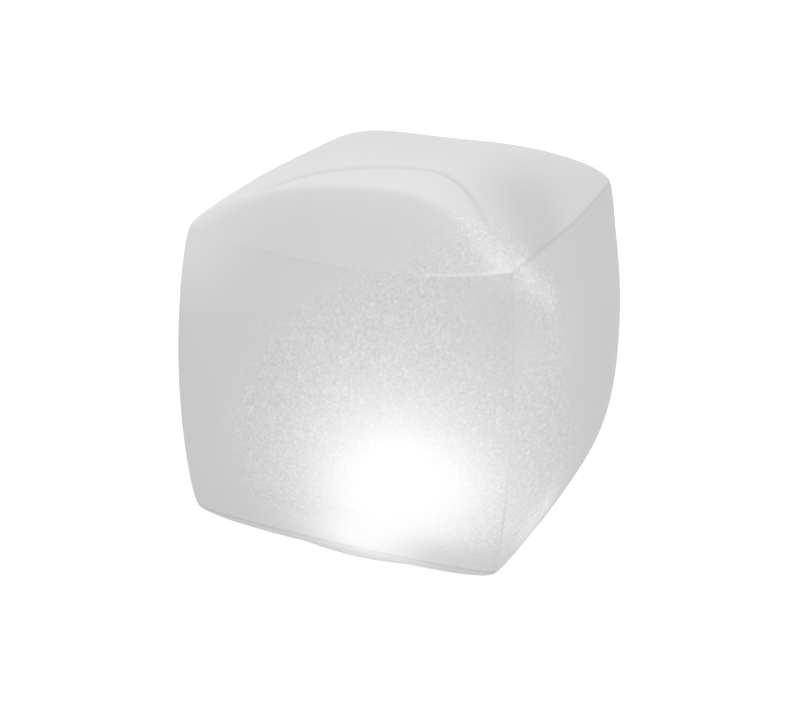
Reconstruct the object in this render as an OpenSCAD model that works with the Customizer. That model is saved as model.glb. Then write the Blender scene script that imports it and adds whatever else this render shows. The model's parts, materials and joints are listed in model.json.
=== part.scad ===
// Floating pool light: an air-filled cube of frosted film with a sealed
// battery lamp in its base. The origin is the centre of the lamp's flat
// base face, +Z is up and the front of the cube faces -Y. Millimetres.

/* [Air chamber] */
// Distance between the left and right seams
cube_w = 184; // [176:1:192]
// Distance between the front and back seams
cube_d = 188.5; // [182:0.5:196]
// Distance between the lower and upper seam corners
cube_h = 171.5; // [165:0.5:180]
// Thickness of the film
film_t = 0.3; // [0.2:0.05:0.4]
// How far the left and right panels bulge
side_bulge = 21.7; // [18:0.1:25]
// How far the front and back panels bulge
front_bulge = 19.4; // [16:0.2:24]
// How far the top panel bulges
top_bulge = 38; // [34:0.5:42]
// How far the bottom panel bulges
base_bulge = 23; // [19:0.5:26]
// How squarely an upright panel bulges, where 2 is a round pillow
upright_power = 2.7; // [2.4:0.1:3.4]
// How squarely the top and bottom panels bulge
level_power = 3.9; // [3.4:0.1:4.6]
// How full an upright panel is near its corners
upright_fill = 0.3; // [0.1:0.1:0.8]
// How full the top and bottom panels are near their corners
level_fill = 2; // [1:0.1:3]

/* [Seams] */
// How far the middle of an upright seam is pushed out
upright_seam_out = 5.5; // [4:0.1:7]
// How far the middle of the upper front and back seams is pushed out
front_seam_out = 3.7; // [2:0.1:5]
// How far the middle of the upper front and back seams drops
front_seam_drop = 10.6; // [8:0.1:12]
// How far the middle of the upper left and right seams is drawn inwards
side_seam_in = 0.5; // [0:0.1:2]
// How far the middle of the upper left and right seams drops
side_seam_drop = 3.7; // [2:0.1:6]
// How far the middle of a lower seam is pushed out
lower_seam_out = 2.4; // [1:0.1:4]
// How far the middle of a lower seam drops
lower_seam_drop = 1.3; // [0:0.1:3]
// How quickly a seam's pull dies away across a panel
seam_fade = 2; // [1.6:0.1:3]
// How far the rounded corners are cut back
corner_cut = 1; // [0.5:0.1:2]
// Film facets along one seam
seam_facets = 12; // [8:2:14]

/* [Air valve] */
// Sideways place of the valve on the back panel
valve_x = 38; // [30:1:44]
// Height of the valve above the middle of the chamber
valve_rise = 36; // [28:1:40]
// Inner radius of the valve stem
valve_bore_r = 4.5; // [4:0.1:5]
// How far the stem pulls out for blowing up
stem_travel = 7; // [5:0.5:8]

/* [Lamp housing] */
// Radius of the housing's body
body_r = 44; // [43.5:0.1:45]
// Radius of the base flange
flange_r = 50; // [49:0.5:52]
// Height of the housing's wall
body_h = 30; // [29.5:0.1:31]
// Wall thickness of the housing
wall = 2; // [1.8:0.1:2.2]
// Height of the dome lens above the housing
dome_h = 18; // [14:1:24]

/* [Batteries] */
// Number of cells side by side
cells = 3; // [3:1:3]
// Diameter of a cell, size AAA
cell_d = 10.4; // [10.2:0.1:10.5]
// Distance between two cells' axes
cell_pitch = 10.9; // [10.8:0.1:11]

/* [Power button] */
// Radius of the button's cap
button_r = 4.8; // [4.4:0.1:5]
// How far the button is from the middle of the base
button_x = 34.2; // [34:0.1:34.4]
// How far the button travels
button_travel = 0.5; // [0.3:0.1:0.6]

/* [Hidden] */
$fn = 64;

film_colour = "gainsboro";
half = [cube_w / 2, cube_d / 2, cube_h / 2];
run_gap = 0.06;                       // radial clearance of a running fit
bite = 0.01;                          // how far joined shapes run into each other

// Heights of the lamp's layers
flange_t = 2.4;
film_low_z = 2.7;                     // outer face of the bottom film
film_top_z = film_low_z + film_t;
door_low_z = 0;
door_top_z = 3.1;
floor_low_z = 3.4;
floor_top_z = 6;
deck_low_z = 16.2;
deck_top_z = deck_low_z + wall;
board_z = 24;
board_t = 1.6;
board_r = body_r - wall - 1;

// Battery bay, half sizes and corner radius
bay = [18, 26.5];
bay_r = 3;
tray_gap = 0.2;
tray_wall = 1.2;
door = [27, 34.5];
door_r = 8;
door_gap = 0.3;
screw_at = [door[0] - 4.4, door[1] - 4.4];
screw_r = 1.2;
cell_z = 9.7;
cell_body_y = [-21.2, 22.2];
cell_nub_y = 23.1;
end_wall_y = bay[1] - tray_gap - tray_wall;
lead_y = end_wall_y - 1.4;

// The film: points of a swollen panel ---------------------------------------

function unit(i) = [i == 0 ? 1 : 0, i == 1 ? 1 : 0, i == 2 ? 1 : 0];

function side(x) = x < 0 ? -1 : 1;

function mix(a, b, w) = a * (1 - w) + b * w;

function ease(x) = let (c = min(1, max(0, x))) c * c * (3 - 2 * c);

function bulge_of(ax, sg) = ax == 0 ? side_bulge : ax == 1 ? front_bulge : sg > 0 ? top_bulge : base_bulge;

// How far the middle of the seam between faces (ax, sg) and (bx, sb) moves
function seam_pull(ax, sg, bx, sb) =
    (ax != 2 && bx != 2) ? upright_seam_out * (sg * unit(ax) + sb * unit(bx))
    : let (up = ax == 2 ? sg : sb,
           hx = ax == 2 ? bx : ax,
           sh = ax == 2 ? sb : sg,
           out = up < 0 ? lower_seam_out : hx == 1 ? front_seam_out : -side_seam_in,
           drop = up < 0 ? lower_seam_drop : hx == 1 ? front_seam_drop : side_seam_drop)
      out * sh * unit(hx) - drop * unit(2);

function fade(s, t) = pow((1 + s) / 2, seam_fade) * (1 - t * t);

// Share of a panel's bulge where its two profiles are at heights a and b; fill 0 would be
// their plain product, and a greater fill comes closer to the lower of the two
function swell(a, b, fill) =
    a < 1e-9 || b < 1e-9 ? 0 : a * b / pow(pow(a, fill) + pow(b, fill) - pow(a * b, fill), 1 / fill);

// A point of face (ax, sg), where s and t run from -1 to 1 across it
function film_point(ax, sg, s, t) =
    let (u = ax == 0 ? 1 : 0,
         v = ax == 2 ? 1 : 2,
         flat = sg * half[ax] * unit(ax) + s * half[u] * unit(u) + t * half[v] * unit(v),
         pull = seam_pull(ax, sg, u, 1) * fade(s, t) + seam_pull(ax, sg, u, -1) * fade(-s, t)
              + seam_pull(ax, sg, v, 1) * fade(t, s) + seam_pull(ax, sg, v, -1) * fade(-t, s),
         p = ax == 2 ? level_power : upright_power,
         fill = ax == 2 ? level_fill : upright_fill,
         out = bulge_of(ax, sg) * swell(1 - pow(abs(s), p), 1 - pow(abs(t), p), fill),
         cut = corner_cut * pow(abs(s * t), 14))
    flat + pull + sg * (out - cut) * unit(ax) - cut * (side(s) * unit(u) + side(t) * unit(v));

// The bottom film's lowest point sets the height of the chamber
base_drop = film_point(2, -1, 0, 0)[2];
chamber_z = film_low_z - base_drop;
film_shrink = 1 + film_t / base_drop; // inner face, scaled about the chamber's middle
valve_y = film_point(1, 1, valve_x / half[0], valve_rise / half[2])[1];

// Closed skin from a grid of outer points; wrap joins the last column to the first
module film_sheet(points, rows, cols, wrap, flip) {
    n = rows * cols;
    inner = [for (p = points) p * film_shrink];
    last = wrap ? cols - 1 : cols - 2;
    quads = [for (r = [0:rows - 2], c = [0:last])
        let (a = r * cols + c, b = r * cols + (c + 1) % cols) [a, b, b + cols, a + cols]];
    ends = concat(
        [for (c = [0:last]) [(c + 1) % cols, c]],
        [for (c = [0:last]) let (r = (rows - 1) * cols) [r + c, r + (c + 1) % cols]],
        wrap ? [] : [for (r = [0:rows - 2]) [r * cols, (r + 1) * cols]],
        wrap ? [] : [for (r = [0:rows - 2]) [(r + 2) * cols - 1, (r + 1) * cols - 1]]);
    faces = concat(
        [for (q = quads) [q[0], q[1], q[2]]],
        [for (q = quads) [q[0], q[2], q[3]]],
        [for (q = quads) [q[0] + n, q[2] + n, q[1] + n]],
        [for (q = quads) [q[0] + n, q[3] + n, q[2] + n]],
        [for (e = ends) [e[0], e[1], e[1] + n]],
        [for (e = ends) [e[0], e[1] + n, e[0] + n]]);
    turned = flip ? faces : [for (f = faces) [f[2], f[1], f[0]]];
    translate([0, 0, chamber_z])
    polyhedron(points = concat(points, inner), faces = turned);
}

// Places along a seam, closer together near its ends
function seam_step(i) = let (x = 2 * i / seam_facets - 1) (x + sin(90 * x)) / 2;

// A panel with no opening
module plain_panel(ax, sg) {
    n = seam_facets;
    points = [for (j = [0:n], i = [0:n]) film_point(ax, sg, seam_step(i), seam_step(j))];
    film_sheet(points, n + 1, n + 1, false, sg * (ax == 1 ? -1 : 1) < 0);
}

// Places round a panel's edge, in the same steps as its neighbours
function edge_place(k) =
    let (n = seam_facets, i = k % n, turn = floor(k / n), f = seam_step(i))
    turn == 0 ? [f, -1] : turn == 1 ? [1, f] : turn == 2 ? [-f, 1] : [-1, -f];

// A panel with a round hole in a flat patch: the first ring of facets is the patch, and
// the rest run out to the seams, closer together near them. middle is the hole's place
// across the panel.
module holed_panel(ax, sg, middle, hole_r, flat_r, blend_r, rings) {
    u = ax == 0 ? 1 : 0;
    v = ax == 2 ? 1 : 2;
    n = 4 * seam_facets;
    level = film_point(ax, sg, middle[0] / half[u], middle[1] / half[v])[ax];
    points = [for (j = [0:rings], k = [0:n - 1])
        let (e = edge_place(k),
             rim = [e[0] * half[u], e[1] * half[v]],
             out = (rim - middle) / norm(rim - middle),
             run = sin(90 * (j - 1) / (rings - 1)),
             at = j == 0 ? middle + hole_r * out : mix(middle + flat_r * out, rim, run),
             w = 1 - ease((norm(at - middle) - flat_r) / (blend_r - flat_r)),
             patch = level * unit(ax) + at[0] * unit(u) + at[1] * unit(v))
        mix(film_point(ax, sg, at[0] / half[u], at[1] / half[v]), patch, w)];
    film_sheet(points, rings + 1, n, true, sg * (ax == 1 ? -1 : 1) > 0);
}

module front_panel() {
    color(film_colour)
    plain_panel(1, -1);
}

module left_panel() {
    color(film_colour)
    plain_panel(0, -1);
}

module right_panel() {
    color(film_colour)
    plain_panel(0, 1);
}

module top_panel() {
    color(film_colour)
    plain_panel(2, 1);
}

module back_panel() {
    color(film_colour)
    holed_panel(1, 1, [valve_x, valve_rise], neck_r + 0.8, 15, 36, 8);
}

module bottom_panel() {
    color(film_colour)
    holed_panel(2, -1, [0, 0], body_r + 3, 62, 84, 6);
}

// The air valve: local +Z points out of the film, z = 0 is its outer face -----

stem_r = valve_bore_r + 1.5;
neck_r = stem_r + 1.6;
neck_top = 1.6;
neck_low = -5;
stem_low = neck_low - stem_travel - 1.2;
rim_r = stem_r + 1.4;
rim_top = neck_top + 1;
plug_hinge_x = -(rim_r + 2.1);
plug_depth = 2.2;
plug_taper = 0.35;
flap_hinge_x = stem_r + 0.2;
strap_w = 5;

module on_valve() {
    translate([valve_x, valve_y, chamber_z + valve_rise])
    rotate([-90, 0, 0])
    children();
}

module ring(r_in, r_out, z0, z1) {
    rotate_extrude()
    polygon([[r_in, z0], [r_out, z0], [r_out, z1], [r_in, z1]]);
}

module valve_flange() {
    weld_r = neck_r + 5;
    weld_t = 0.9;
    color("whitesmoke")
    on_valve()
    rotate_extrude()
    polygon([
        [stem_r + run_gap, neck_low], [neck_r, neck_low], [neck_r, 0], [weld_r, 0],
        [weld_r, weld_t / 2], [weld_r - 1, weld_t], [neck_r + 0.8, weld_t],
        [neck_r, neck_top], [stem_r + run_gap, neck_top]
    ]);
}

module valve_stem() {
    bead_top = neck_low - stem_travel;
    color("whitesmoke")
    on_valve()
    rotate_extrude()
    polygon([
        [valve_bore_r, stem_low], [rim_r - 0.4, stem_low], [rim_r, bead_top - 0.4],
        [rim_r - 0.4, bead_top], [stem_r, bead_top], [stem_r, neck_top],
        [rim_r, neck_top], [rim_r, rim_top - 0.3], [rim_r - 0.3, rim_top],
        [valve_bore_r, rim_top]
    ]);
}

// A disc that covers the stem's inner end, with a tab whose outer edge is its hinge
module valve_flap() {
    flap_t = 0.6;
    tab = [1.4, 3];
    color("white")
    on_valve()
    translate([0, 0, stem_low - 0.1 - flap_t]) {
        cylinder(r = valve_bore_r + 0.9, h = flap_t);
        translate([flap_hinge_x - tab[0], -tab[1] / 2, 0])
        cube([tab[0], tab[1], flap_t]);
    }
}

module valve_plug() {
    cap_r = rim_r - 0.2;
    cap_t = 1.6;
    top = rim_top + run_gap + cap_t;
    color("whitesmoke")
    on_valve()
    union() {
        rotate_extrude()
        polygon([
            [0, rim_top - plug_depth], [valve_bore_r - plug_taper, rim_top - plug_depth],
            [valve_bore_r - 0.1, rim_top + run_gap], [cap_r, rim_top + run_gap],
            [cap_r, top - 0.5], [cap_r - 0.5, top], [3.4, top], [2.6, top - 0.6],
            [0, top - 0.6]
        ]);
        translate([cap_r - 0.6, -strap_w / 2, rim_top + run_gap])
        cube([2.4, strap_w, 0.9]);
    }
}

// The strap's fixed end; the strip itself bends, so it stops short of the plug
module valve_strap() {
    color("whitesmoke")
    on_valve()
    difference() {
        translate([plug_hinge_x, -strap_w / 2, neck_top + 0.15])
        cube([-rim_r + 0.2 - plug_hinge_x, strap_w, 0.65]);
        cylinder(r = rim_r, h = 10);
    }
}

// The lamp housing -----------------------------------------------------------

bead_z = 11;
bead_out = 0.8;
button_flange_r = button_r + 1.3;
guide_r = button_flange_r + 1.2;
guide_top = 9;
seal_t = 1.2;
retainer_low = guide_top + seal_t;
retainer_t = 1.6;
retainer_screw_y = guide_r + 3;
retainer_screw_r = 0.9;

module rounded_block(size, r, z0, z1) {
    translate([0, 0, z0])
    linear_extrude(height = z1 - z0)
    union() {
        square([2 * size[0], 2 * (size[1] - r)], center = true);
        square([2 * (size[0] - r), 2 * size[1]], center = true);
        for (x = [-1, 1], y = [-1, 1])
            translate([x * (size[0] - r), y * (size[1] - r)])
            circle(r = r);
    }
}

module at_screws() {
    for (x = [-1, 1], y = [-1, 1])
        translate([x * screw_at[0], y * screw_at[1], 0])
        children();
}

board_post_r = 35;
board_post_angles = [62, 180, 298];

module at_board_posts() {
    for (a = board_post_angles)
        rotate([0, 0, a])
        translate([board_post_r, 0, 0])
        children();
}

module module_collar() {
    inner_r = body_r + run_gap;
    wall_r = inner_r + 2.4;
    lip_r = inner_r + 14;
    color("white")
    rotate_extrude()
    polygon([
        [inner_r, film_top_z], [lip_r, film_top_z], [lip_r, film_top_z + 0.6],
        [lip_r - 2, film_top_z + 1.2], [wall_r + 1, film_top_z + 1.4],
        [wall_r, film_top_z + 3], [wall_r, 17.4], [wall_r - 0.8, 18], [inner_r, 18],
        [inner_r, bead_z + 2], [inner_r + bead_out, bead_z + 0.6],
        [inner_r + bead_out, bead_z - 0.6], [inner_r, bead_z - 2]
    ]);
}

module housing_shell() {
    rotate_extrude()
    polygon([
        [0, 0], [flange_r - 4.6, 0], [flange_r - 4.2, 0.6], [flange_r - 3.2, 0.6],
        [flange_r - 2.8, 0], [flange_r - 1.2, 0], [flange_r, 1], [flange_r, flange_t - 0.6],
        [flange_r - 0.6, flange_t], [body_r, flange_t], [body_r, bead_z - 1.2],
        [body_r + bead_out, bead_z - 0.4], [body_r + bead_out, bead_z + 0.4],
        [body_r, bead_z + 1.2], [body_r, body_h], [body_r - wall, body_h],
        [body_r - wall, floor_top_z], [0, floor_top_z]
    ]);
}

module module_housing() {
    bay_wall = 1.8;
    outer_bay = [bay[0] + bay_wall, bay[1] + bay_wall];
    color("ghostwhite")
    difference() {
        union() {
            housing_shell();
            rounded_block(outer_bay, bay_r + bay_wall, floor_top_z - 0.5, deck_top_z);
            at_board_posts()
            translate([0, 0, floor_top_z - 0.5])
            cylinder(r = 3, h = board_z - floor_top_z + 0.5);
            at_screws()
            translate([0, 0, floor_top_z - 0.5])
            cylinder(r = 3, h = 6.5);
            translate([button_x, 0, floor_top_z - 0.5])
            cylinder(r = guide_r, h = guide_top - floor_top_z + 0.5);
            at_retainer_screws()
            translate([0, 0, floor_top_z - 0.5])
            cylinder(r = 2.4, h = retainer_low - floor_top_z + 0.5);
        }
        rounded_block([door[0] + door_gap, door[1] + door_gap], door_r + door_gap, -1, floor_low_z);
        rounded_block(bay, bay_r, 0, deck_low_z);
        door_groove();
        at_screws()
        cylinder(r = screw_r + run_gap, h = 11);
        at_board_posts()
        translate([0, 0, board_z - 7])
        cylinder(r = 1, h = 8);
        translate([button_x, 0, -1]) {
            cylinder(r = button_r + run_gap, h = 20);
            cylinder(r = button_r + 1.6, h = 1.8);
        }
        translate([button_x, 0, button_shoulder_z])
        cylinder(r = button_flange_r + 0.2, h = 20);
        at_retainer_screws()
        translate([0, 0, floor_top_z + 0.2])
        cylinder(r = retainer_screw_r + 0.04, h = 6);
        lead_holes(deck_low_z - 1);
    }
}

// Openings that the leads pass through
module lead_holes(low) {
    for (s = [-1, 1])
        translate([s * cell_pitch, s * lead_y, low])
        cylinder(r = 1.35, h = 5);
}

gasket_in = [bay[0] + 1, bay[1] + 1];
gasket_out = [bay[0] + 2.8, bay[1] + 2.8];
gasket_top = floor_low_z + 0.7;

module door_groove() {
    difference() {
        rounded_block(gasket_out, bay_r + 2.8, 0, gasket_top);
        rounded_block(gasket_in, bay_r + 1, -1, gasket_top + 1);
    }
}

module door_gasket() {
    color("dimgray")
    difference() {
        rounded_block(gasket_out - [0.1, 0.1], bay_r + 2.7, door_top_z, gasket_top);
        rounded_block(gasket_in + [0.1, 0.1], bay_r + 1.1, 0, gasket_top + 1);
    }
}

module battery_door() {
    head_r = 2.4;
    color("ghostwhite")
    difference() {
        union() {
            rounded_block(door - [0.5, 0.5], door_r - 0.5, door_low_z, door_top_z);
            rounded_block(door, door_r, door_low_z + 0.5, door_top_z);
            for (i = [-1:1])
                translate([i * cell_pitch - 1.5, -12, door_top_z])
                cube([3, 24, 0.9]);
        }
        at_screws() {
            translate([0, 0, door_low_z - 1])
            cylinder(r = head_r, h = 2.8);
            cylinder(r = screw_r + 0.15, h = 10);
        }
        for (y = [-1, 1], i = [-2:2])
            translate([-9, y * 22 + i * 1.8 - 0.4, door_low_z - 1])
            cube([18, 0.8, 1.5]);
    }
}

module door_screws() {
    color("silver")
    at_screws()
    difference() {
        union() {
            translate([0, 0, door_low_z + 0.35])
            cylinder(r1 = 1.9, r2 = 2.2, h = 0.5);
            translate([0, 0, door_low_z + 0.8])
            cylinder(r = 2.2, h = 1);
            translate([0, 0, door_low_z + 1.7])
            cylinder(r = screw_r, h = 8);
        }
        for (a = [0, 90])
            rotate([0, 0, a])
            translate([-1.2, -0.25, door_low_z])
            cube([2.4, 0.5, 1.1]);
    }
}

// The dome and its light ------------------------------------------------------

spigot_r = body_r - wall - run_gap;
seal_groove_z = [27.3, 28.7];
lens_t = 1.6;

// Radius of the ball that a dome of height h on a foot of radius r belongs to
function ball_r(r, h) = (r * r + h * h) / (2 * h);

module dome_lens() {
    foot_r = body_r - 1.2;
    rim_h = 1.6;
    outer = ball_r(foot_r, dome_h);
    inner_foot_r = foot_r - lens_t;
    inner = ball_r(inner_foot_r, dome_h - lens_t);
    color("white", 0.6)
    difference() {
        union() {
            translate([0, 0, body_h])
            cylinder(r = body_r, h = rim_h);
            translate([0, 0, board_z + board_t + 0.8])
            cylinder(r = spigot_r, h = body_h - board_z - board_t);
            intersection() {
                translate([0, 0, body_h + rim_h + dome_h - outer])
                sphere(r = outer, $fn = 96);
                translate([0, 0, body_h + rim_h - 0.2])
                cylinder(r = foot_r + 1, h = dome_h + 2);
            }
        }
        intersection() {
            translate([0, 0, body_h + rim_h + dome_h - lens_t - inner])
            sphere(r = inner, $fn = 96);
            translate([0, 0, body_h + rim_h])
            cylinder(r = foot_r, h = dome_h);
        }
        translate([0, 0, board_z])
        cylinder(r = spigot_r - 2.6, h = body_h + rim_h - board_z + bite);
        ring(spigot_r - 1.2, spigot_r + 1, seal_groove_z[0], seal_groove_z[1]);
    }
}

module lens_seal() {
    cord_r = 0.58;
    color("dimgray")
    translate([0, 0, (seal_groove_z[0] + seal_groove_z[1]) / 2])
    rotate_extrude()
    translate([body_r - wall - cord_r - 0.02, 0])
    circle(r = cord_r, $fn = 24);
}

board_top_z = board_z + board_t;
reflector_r = [17, 39];

module reflector() {
    skin = 1;
    rise = 4.6;
    color("white")
    difference() {
        rotate_extrude()
        polygon([
            [reflector_r[0], board_top_z], [reflector_r[0] + 2, board_top_z],
            [reflector_r[1], board_top_z + rise], [reflector_r[1], board_top_z + rise + skin],
            [reflector_r[1] - 1.5, board_top_z + rise + skin],
            [reflector_r[0], board_top_z + skin]
        ]);
        at_board_posts()
        cylinder(r = 3, h = 60);
    }
}

module led_board() {
    color("seagreen")
    difference() {
        translate([0, 0, board_z])
        cylinder(r = board_r - 0.4, h = board_t);
        at_board_posts()
        translate([0, 0, board_z - 1])
        cylinder(r = 1.2, h = 5);
        translate([-board_r - 2, -4, board_z - 1])
        cube([4, 8, 5]);
    }
}

module at_leds() {
    children();
    for (a = [30:60:330])
        rotate([0, 0, a])
        translate([11, 0, 0])
        children();
}

module led_packages() {
    body = 5;
    high = 1.6;
    color("lightyellow")
    at_leds()
    difference() {
        translate([-body / 2, -body / 2, board_top_z])
        cube([body, body, high]);
        translate([0, 0, board_top_z + high - 0.5])
        cylinder(r1 = 1.5, r2 = 2.1, h = 1);
    }
}

module controller_chip() {
    color("dimgray")
    translate([-27, 12, 0]) {
        translate([-2.5, -2, board_z - 1.7])
        cube([5, 4, 1.5]);
        for (x = [-1.9:1.27:1.95], s = [-1, 1])
            translate([x - 0.2, s * 2.5 - 0.55, board_z - 0.9])
            cube([0.4, 1.1, 0.9]);
    }
}

module chip_resistors() {
    color("black")
    for (i = [0:5])
        translate([-30 + i * 3.2, -14, board_z - 0.6])
        cube([1.25, 2, 0.6]);
}

module storage_capacitor() {
    color("silver")
    translate([26, 16, board_z - 5.2]) {
        cylinder(r = 2.5, h = 4.6);
        translate([-2.7, -2.7, 4.5])
        cube([5.4, 5.4, 0.7]);
    }
}

module board_screws() {
    color("silver")
    at_board_posts()
    difference() {
        union() {
            translate([0, 0, board_top_z])
            cylinder(r1 = 2, r2 = 1.8, h = 1.2);
            translate([0, 0, board_top_z - 6])
            cylinder(r = 0.96, h = 6.2);
        }
        for (a = [0, 90])
            rotate([0, 0, a])
            translate([-1.1, -0.2, board_top_z + 0.6])
            cube([2.2, 0.4, 1]);
    }
}

// Batteries and their contacts -------------------------------------------------

tray = [bay[0] - tray_gap, bay[1] - tray_gap];
tray_low_z = 4.6;
tray_top_z = deck_low_z - 0.2;
plate_t = 0.4;
plate_h = 8.4;

module battery_tray() {
    inner = [tray[0] - tray_wall, tray[1] - tray_wall];
    color("whitesmoke")
    difference() {
        rounded_block(tray, bay_r - tray_gap, tray_low_z, tray_top_z);
        rounded_block(inner, 0.6, tray_low_z - 1, tray_top_z - tray_wall + 0.2);
        lead_holes(tray_top_z - 3);
    }
}

// Which way a cell's positive end points: the cells lie head to tail
function cell_turn(i) = i % 2 == 0 ? 0 : 180;

module at_cells() {
    for (i = [0:cells - 1])
        translate([(i - (cells - 1) / 2) * cell_pitch, 0, cell_z])
        rotate([0, 0, cell_turn(i)])
        children();
}

module battery_cells() {
    r = cell_d / 2;
    crimp = 0.5;
    color("slategray")
    at_cells()
    rotate([-90, 0, 0])
    rotate_extrude()
    polygon([
        [0, cell_body_y[0]], [r - crimp, cell_body_y[0]], [r, cell_body_y[0] + crimp],
        [r, cell_body_y[1] - crimp], [r - crimp, cell_body_y[1]],
        [1.9, cell_body_y[1]], [1.9, cell_nub_y], [0, cell_nub_y]
    ]);
}

// A conical coil of round wire, drawn as a tube along its path
module coil(r_low, r_high, wire_r, z0, z1, turns, steps, sides) {
    path = [for (i = [0:steps])
        let (f = i / steps, a = 360 * turns * f, r = mix(r_low, r_high, f))
        [r * cos(a), r * sin(a), mix(z0, z1, f)]];
    points = [for (i = [0:steps], k = [0:sides - 1])
        let (a = 360 * turns * i / steps,
             out = [cos(a), sin(a), 0],
             w = 360 * k / sides)
        path[i] + wire_r * (cos(w) * out + sin(w) * [0, 0, 1])];
    faces = concat(
        [[for (k = [0:sides - 1]) k]],
        [for (i = [0:steps - 1], k = [0:sides - 1])
            let (a = i * sides + k, b = i * sides + (k + 1) % sides) [a, a + sides, b + sides, b]],
        [[for (k = [sides - 1:-1:0]) steps * sides + k]]);
    polyhedron(points = points, faces = faces);
}

module battery_springs() {
    wire_r = 0.3;
    color("silver")
    at_cells()
    rotate([90, 0, 0])
    coil(2, 3.6, wire_r, -cell_body_y[0] + wire_r, end_wall_y - plate_t - wire_r - 0.02, 2.5, 40, 6);
}

// Contact plates: two single ones at the ends of the row of cells, and two that join cells
module battery_contacts() {
    high = plate_h;
    wide = 8.6;
    tab_l = 2;
    y0 = end_wall_y - plate_t;
    single = [[1, 1], [-1, -1]];
    color("silver") {
        for (p = single) {
            translate([p[0] * cell_pitch - wide / 2, p[1] > 0 ? y0 : -y0 - plate_t, cell_z - high / 2])
            cube([wide, plate_t, high]);
            translate([p[0] * cell_pitch - 0.9, p[1] > 0 ? y0 - tab_l : -y0, cell_z + high / 2 - plate_t])
            cube([1.8, tab_l, plate_t]);
        }
        for (p = single)
            translate([-p[0] * cell_pitch / 2 - (wide + cell_pitch) / 2,
                       p[1] > 0 ? y0 : -y0 - plate_t, cell_z - high / 2])
            cube([wide + cell_pitch, plate_t, high]);
        // Flat pads that meet the positive nubs
        at_cells()
        translate([0, cell_nub_y, 0])
        rotate([-90, 0, 0])
        cylinder(r = 2.6, h = y0 - cell_nub_y + bite);
    }
}

// A quarter turn of wire in the XZ plane, from one angle to the next 90 degrees on
module wire_bend(bend_r, wire_r, from) {
    rotate([90, 0, 0])
    rotate([0, 0, from])
    rotate_extrude(angle = 90)
    translate([bend_r, 0])
    circle(r = wire_r, $fn = 24);
}

// Up from the contact's tab, over the deck, and up into the board
module battery_lead() {
    wire_r = 0.7;
    bend_r = 2;
    over = 4;
    low = cell_z + plate_h / 2;
    turn_z = board_z - 2 * bend_r - 0.8;
    translate([cell_pitch, lead_y, 0])
    rotate([0, 0, -90]) {
        translate([0, 0, low])
        cylinder(r = wire_r, h = turn_z - low, $fn = 24);
        translate([bend_r, 0, turn_z])
        wire_bend(bend_r, wire_r, 90);
        translate([bend_r, 0, turn_z + bend_r])
        rotate([0, 90, 0])
        cylinder(r = wire_r, h = over, $fn = 24);
        translate([bend_r + over, 0, turn_z + 2 * bend_r])
        wire_bend(bend_r, wire_r, 270);
        translate([2 * bend_r + over, 0, turn_z + 2 * bend_r])
        cylinder(r = wire_r, h = board_z - turn_z - 2 * bend_r, $fn = 24);
    }
}

module positive_lead() {
    color("firebrick")
    battery_lead();
}

module negative_lead() {
    color("black")
    rotate([0, 0, 180])
    battery_lead();
}

// The power button --------------------------------------------------------------

switch_low_z = board_z - 3.6;
plunger_r = 1.75;
plunger_out = 0.9;
plunger_in = 0.8;
button_stem_r = 2;
button_rest_z = 0.9;
button_shoulder_z = floor_top_z - 0.2;

module at_retainer_screws() {
    for (y = [-1, 1])
        translate([button_x, y * retainer_screw_y, 0])
        children();
}

module power_button() {
    dish = 0.5;
    color("lightgray")
    translate([button_x, 0, 0])
    difference() {
        union() {
            translate([0, 0, button_rest_z])
            cylinder(r1 = button_r - 0.5, r2 = button_r, h = 0.5);
            translate([0, 0, button_rest_z + 0.5])
            cylinder(r = button_r, h = button_shoulder_z - button_rest_z);
            translate([0, 0, button_shoulder_z + 0.05])
            cylinder(r = button_flange_r, h = 1.4);
            translate([0, 0, button_shoulder_z + 1])
            cylinder(r = button_stem_r, h = switch_low_z - plunger_out - button_shoulder_z - 1);
        }
        translate([0, 0, button_rest_z - bite])
        cylinder(r1 = button_r - 1.4, r2 = button_r - 2.2, h = dish);
    }
}

// A rubber disc with a lip that wipes the button's stem
module button_seal() {
    outer = guide_r - 0.3;
    lip = button_stem_r + run_gap;
    color("dimgray")
    translate([button_x, 0, 0])
    rotate_extrude()
    polygon([
        [lip, guide_top + 0.1], [outer, guide_top], [outer, retainer_low],
        [lip + 1.3, retainer_low], [lip, retainer_low + 0.6]
    ]);
}

module button_retainer() {
    ear_w = 4.8;
    color("whitesmoke")
    difference() {
        translate([0, 0, retainer_low])
        union() {
            translate([button_x, 0, 0])
            cylinder(r = guide_r - 0.3, h = retainer_t);
            translate([button_x - ear_w / 2, -retainer_screw_y, 0])
            cube([ear_w, 2 * retainer_screw_y, retainer_t]);
            at_retainer_screws()
            cylinder(r = ear_w / 2, h = retainer_t);
        }
        translate([button_x, 0, retainer_low - 1])
        cylinder(r = button_stem_r + 2, h = 10);
        at_retainer_screws()
        translate([0, 0, retainer_low - 1])
        cylinder(r = retainer_screw_r + 0.2, h = 10);
    }
}

module retainer_screws() {
    head_z = retainer_low + retainer_t;
    color("silver")
    at_retainer_screws()
    difference() {
        union() {
            translate([0, 0, floor_top_z + 0.6])
            cylinder(r = retainer_screw_r, h = head_z - floor_top_z);
            translate([0, 0, head_z])
            cylinder(r1 = 1.8, r2 = 1.5, h = 1.1);
        }
        translate([-1, -0.2, head_z + 0.6])
        cube([2, 0.4, 1]);
    }
}

module tact_switch_body() {
    body = 6.2;
    color("dimgray")
    translate([button_x, 0, 0])
    difference() {
        translate([-body / 2, -body / 2, switch_low_z])
        cube([body, body, board_z - switch_low_z]);
        translate([0, 0, switch_low_z - 1])
        cylinder(r = plunger_r + run_gap, h = 1 + plunger_in + button_travel + 0.3);
    }
}

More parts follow.
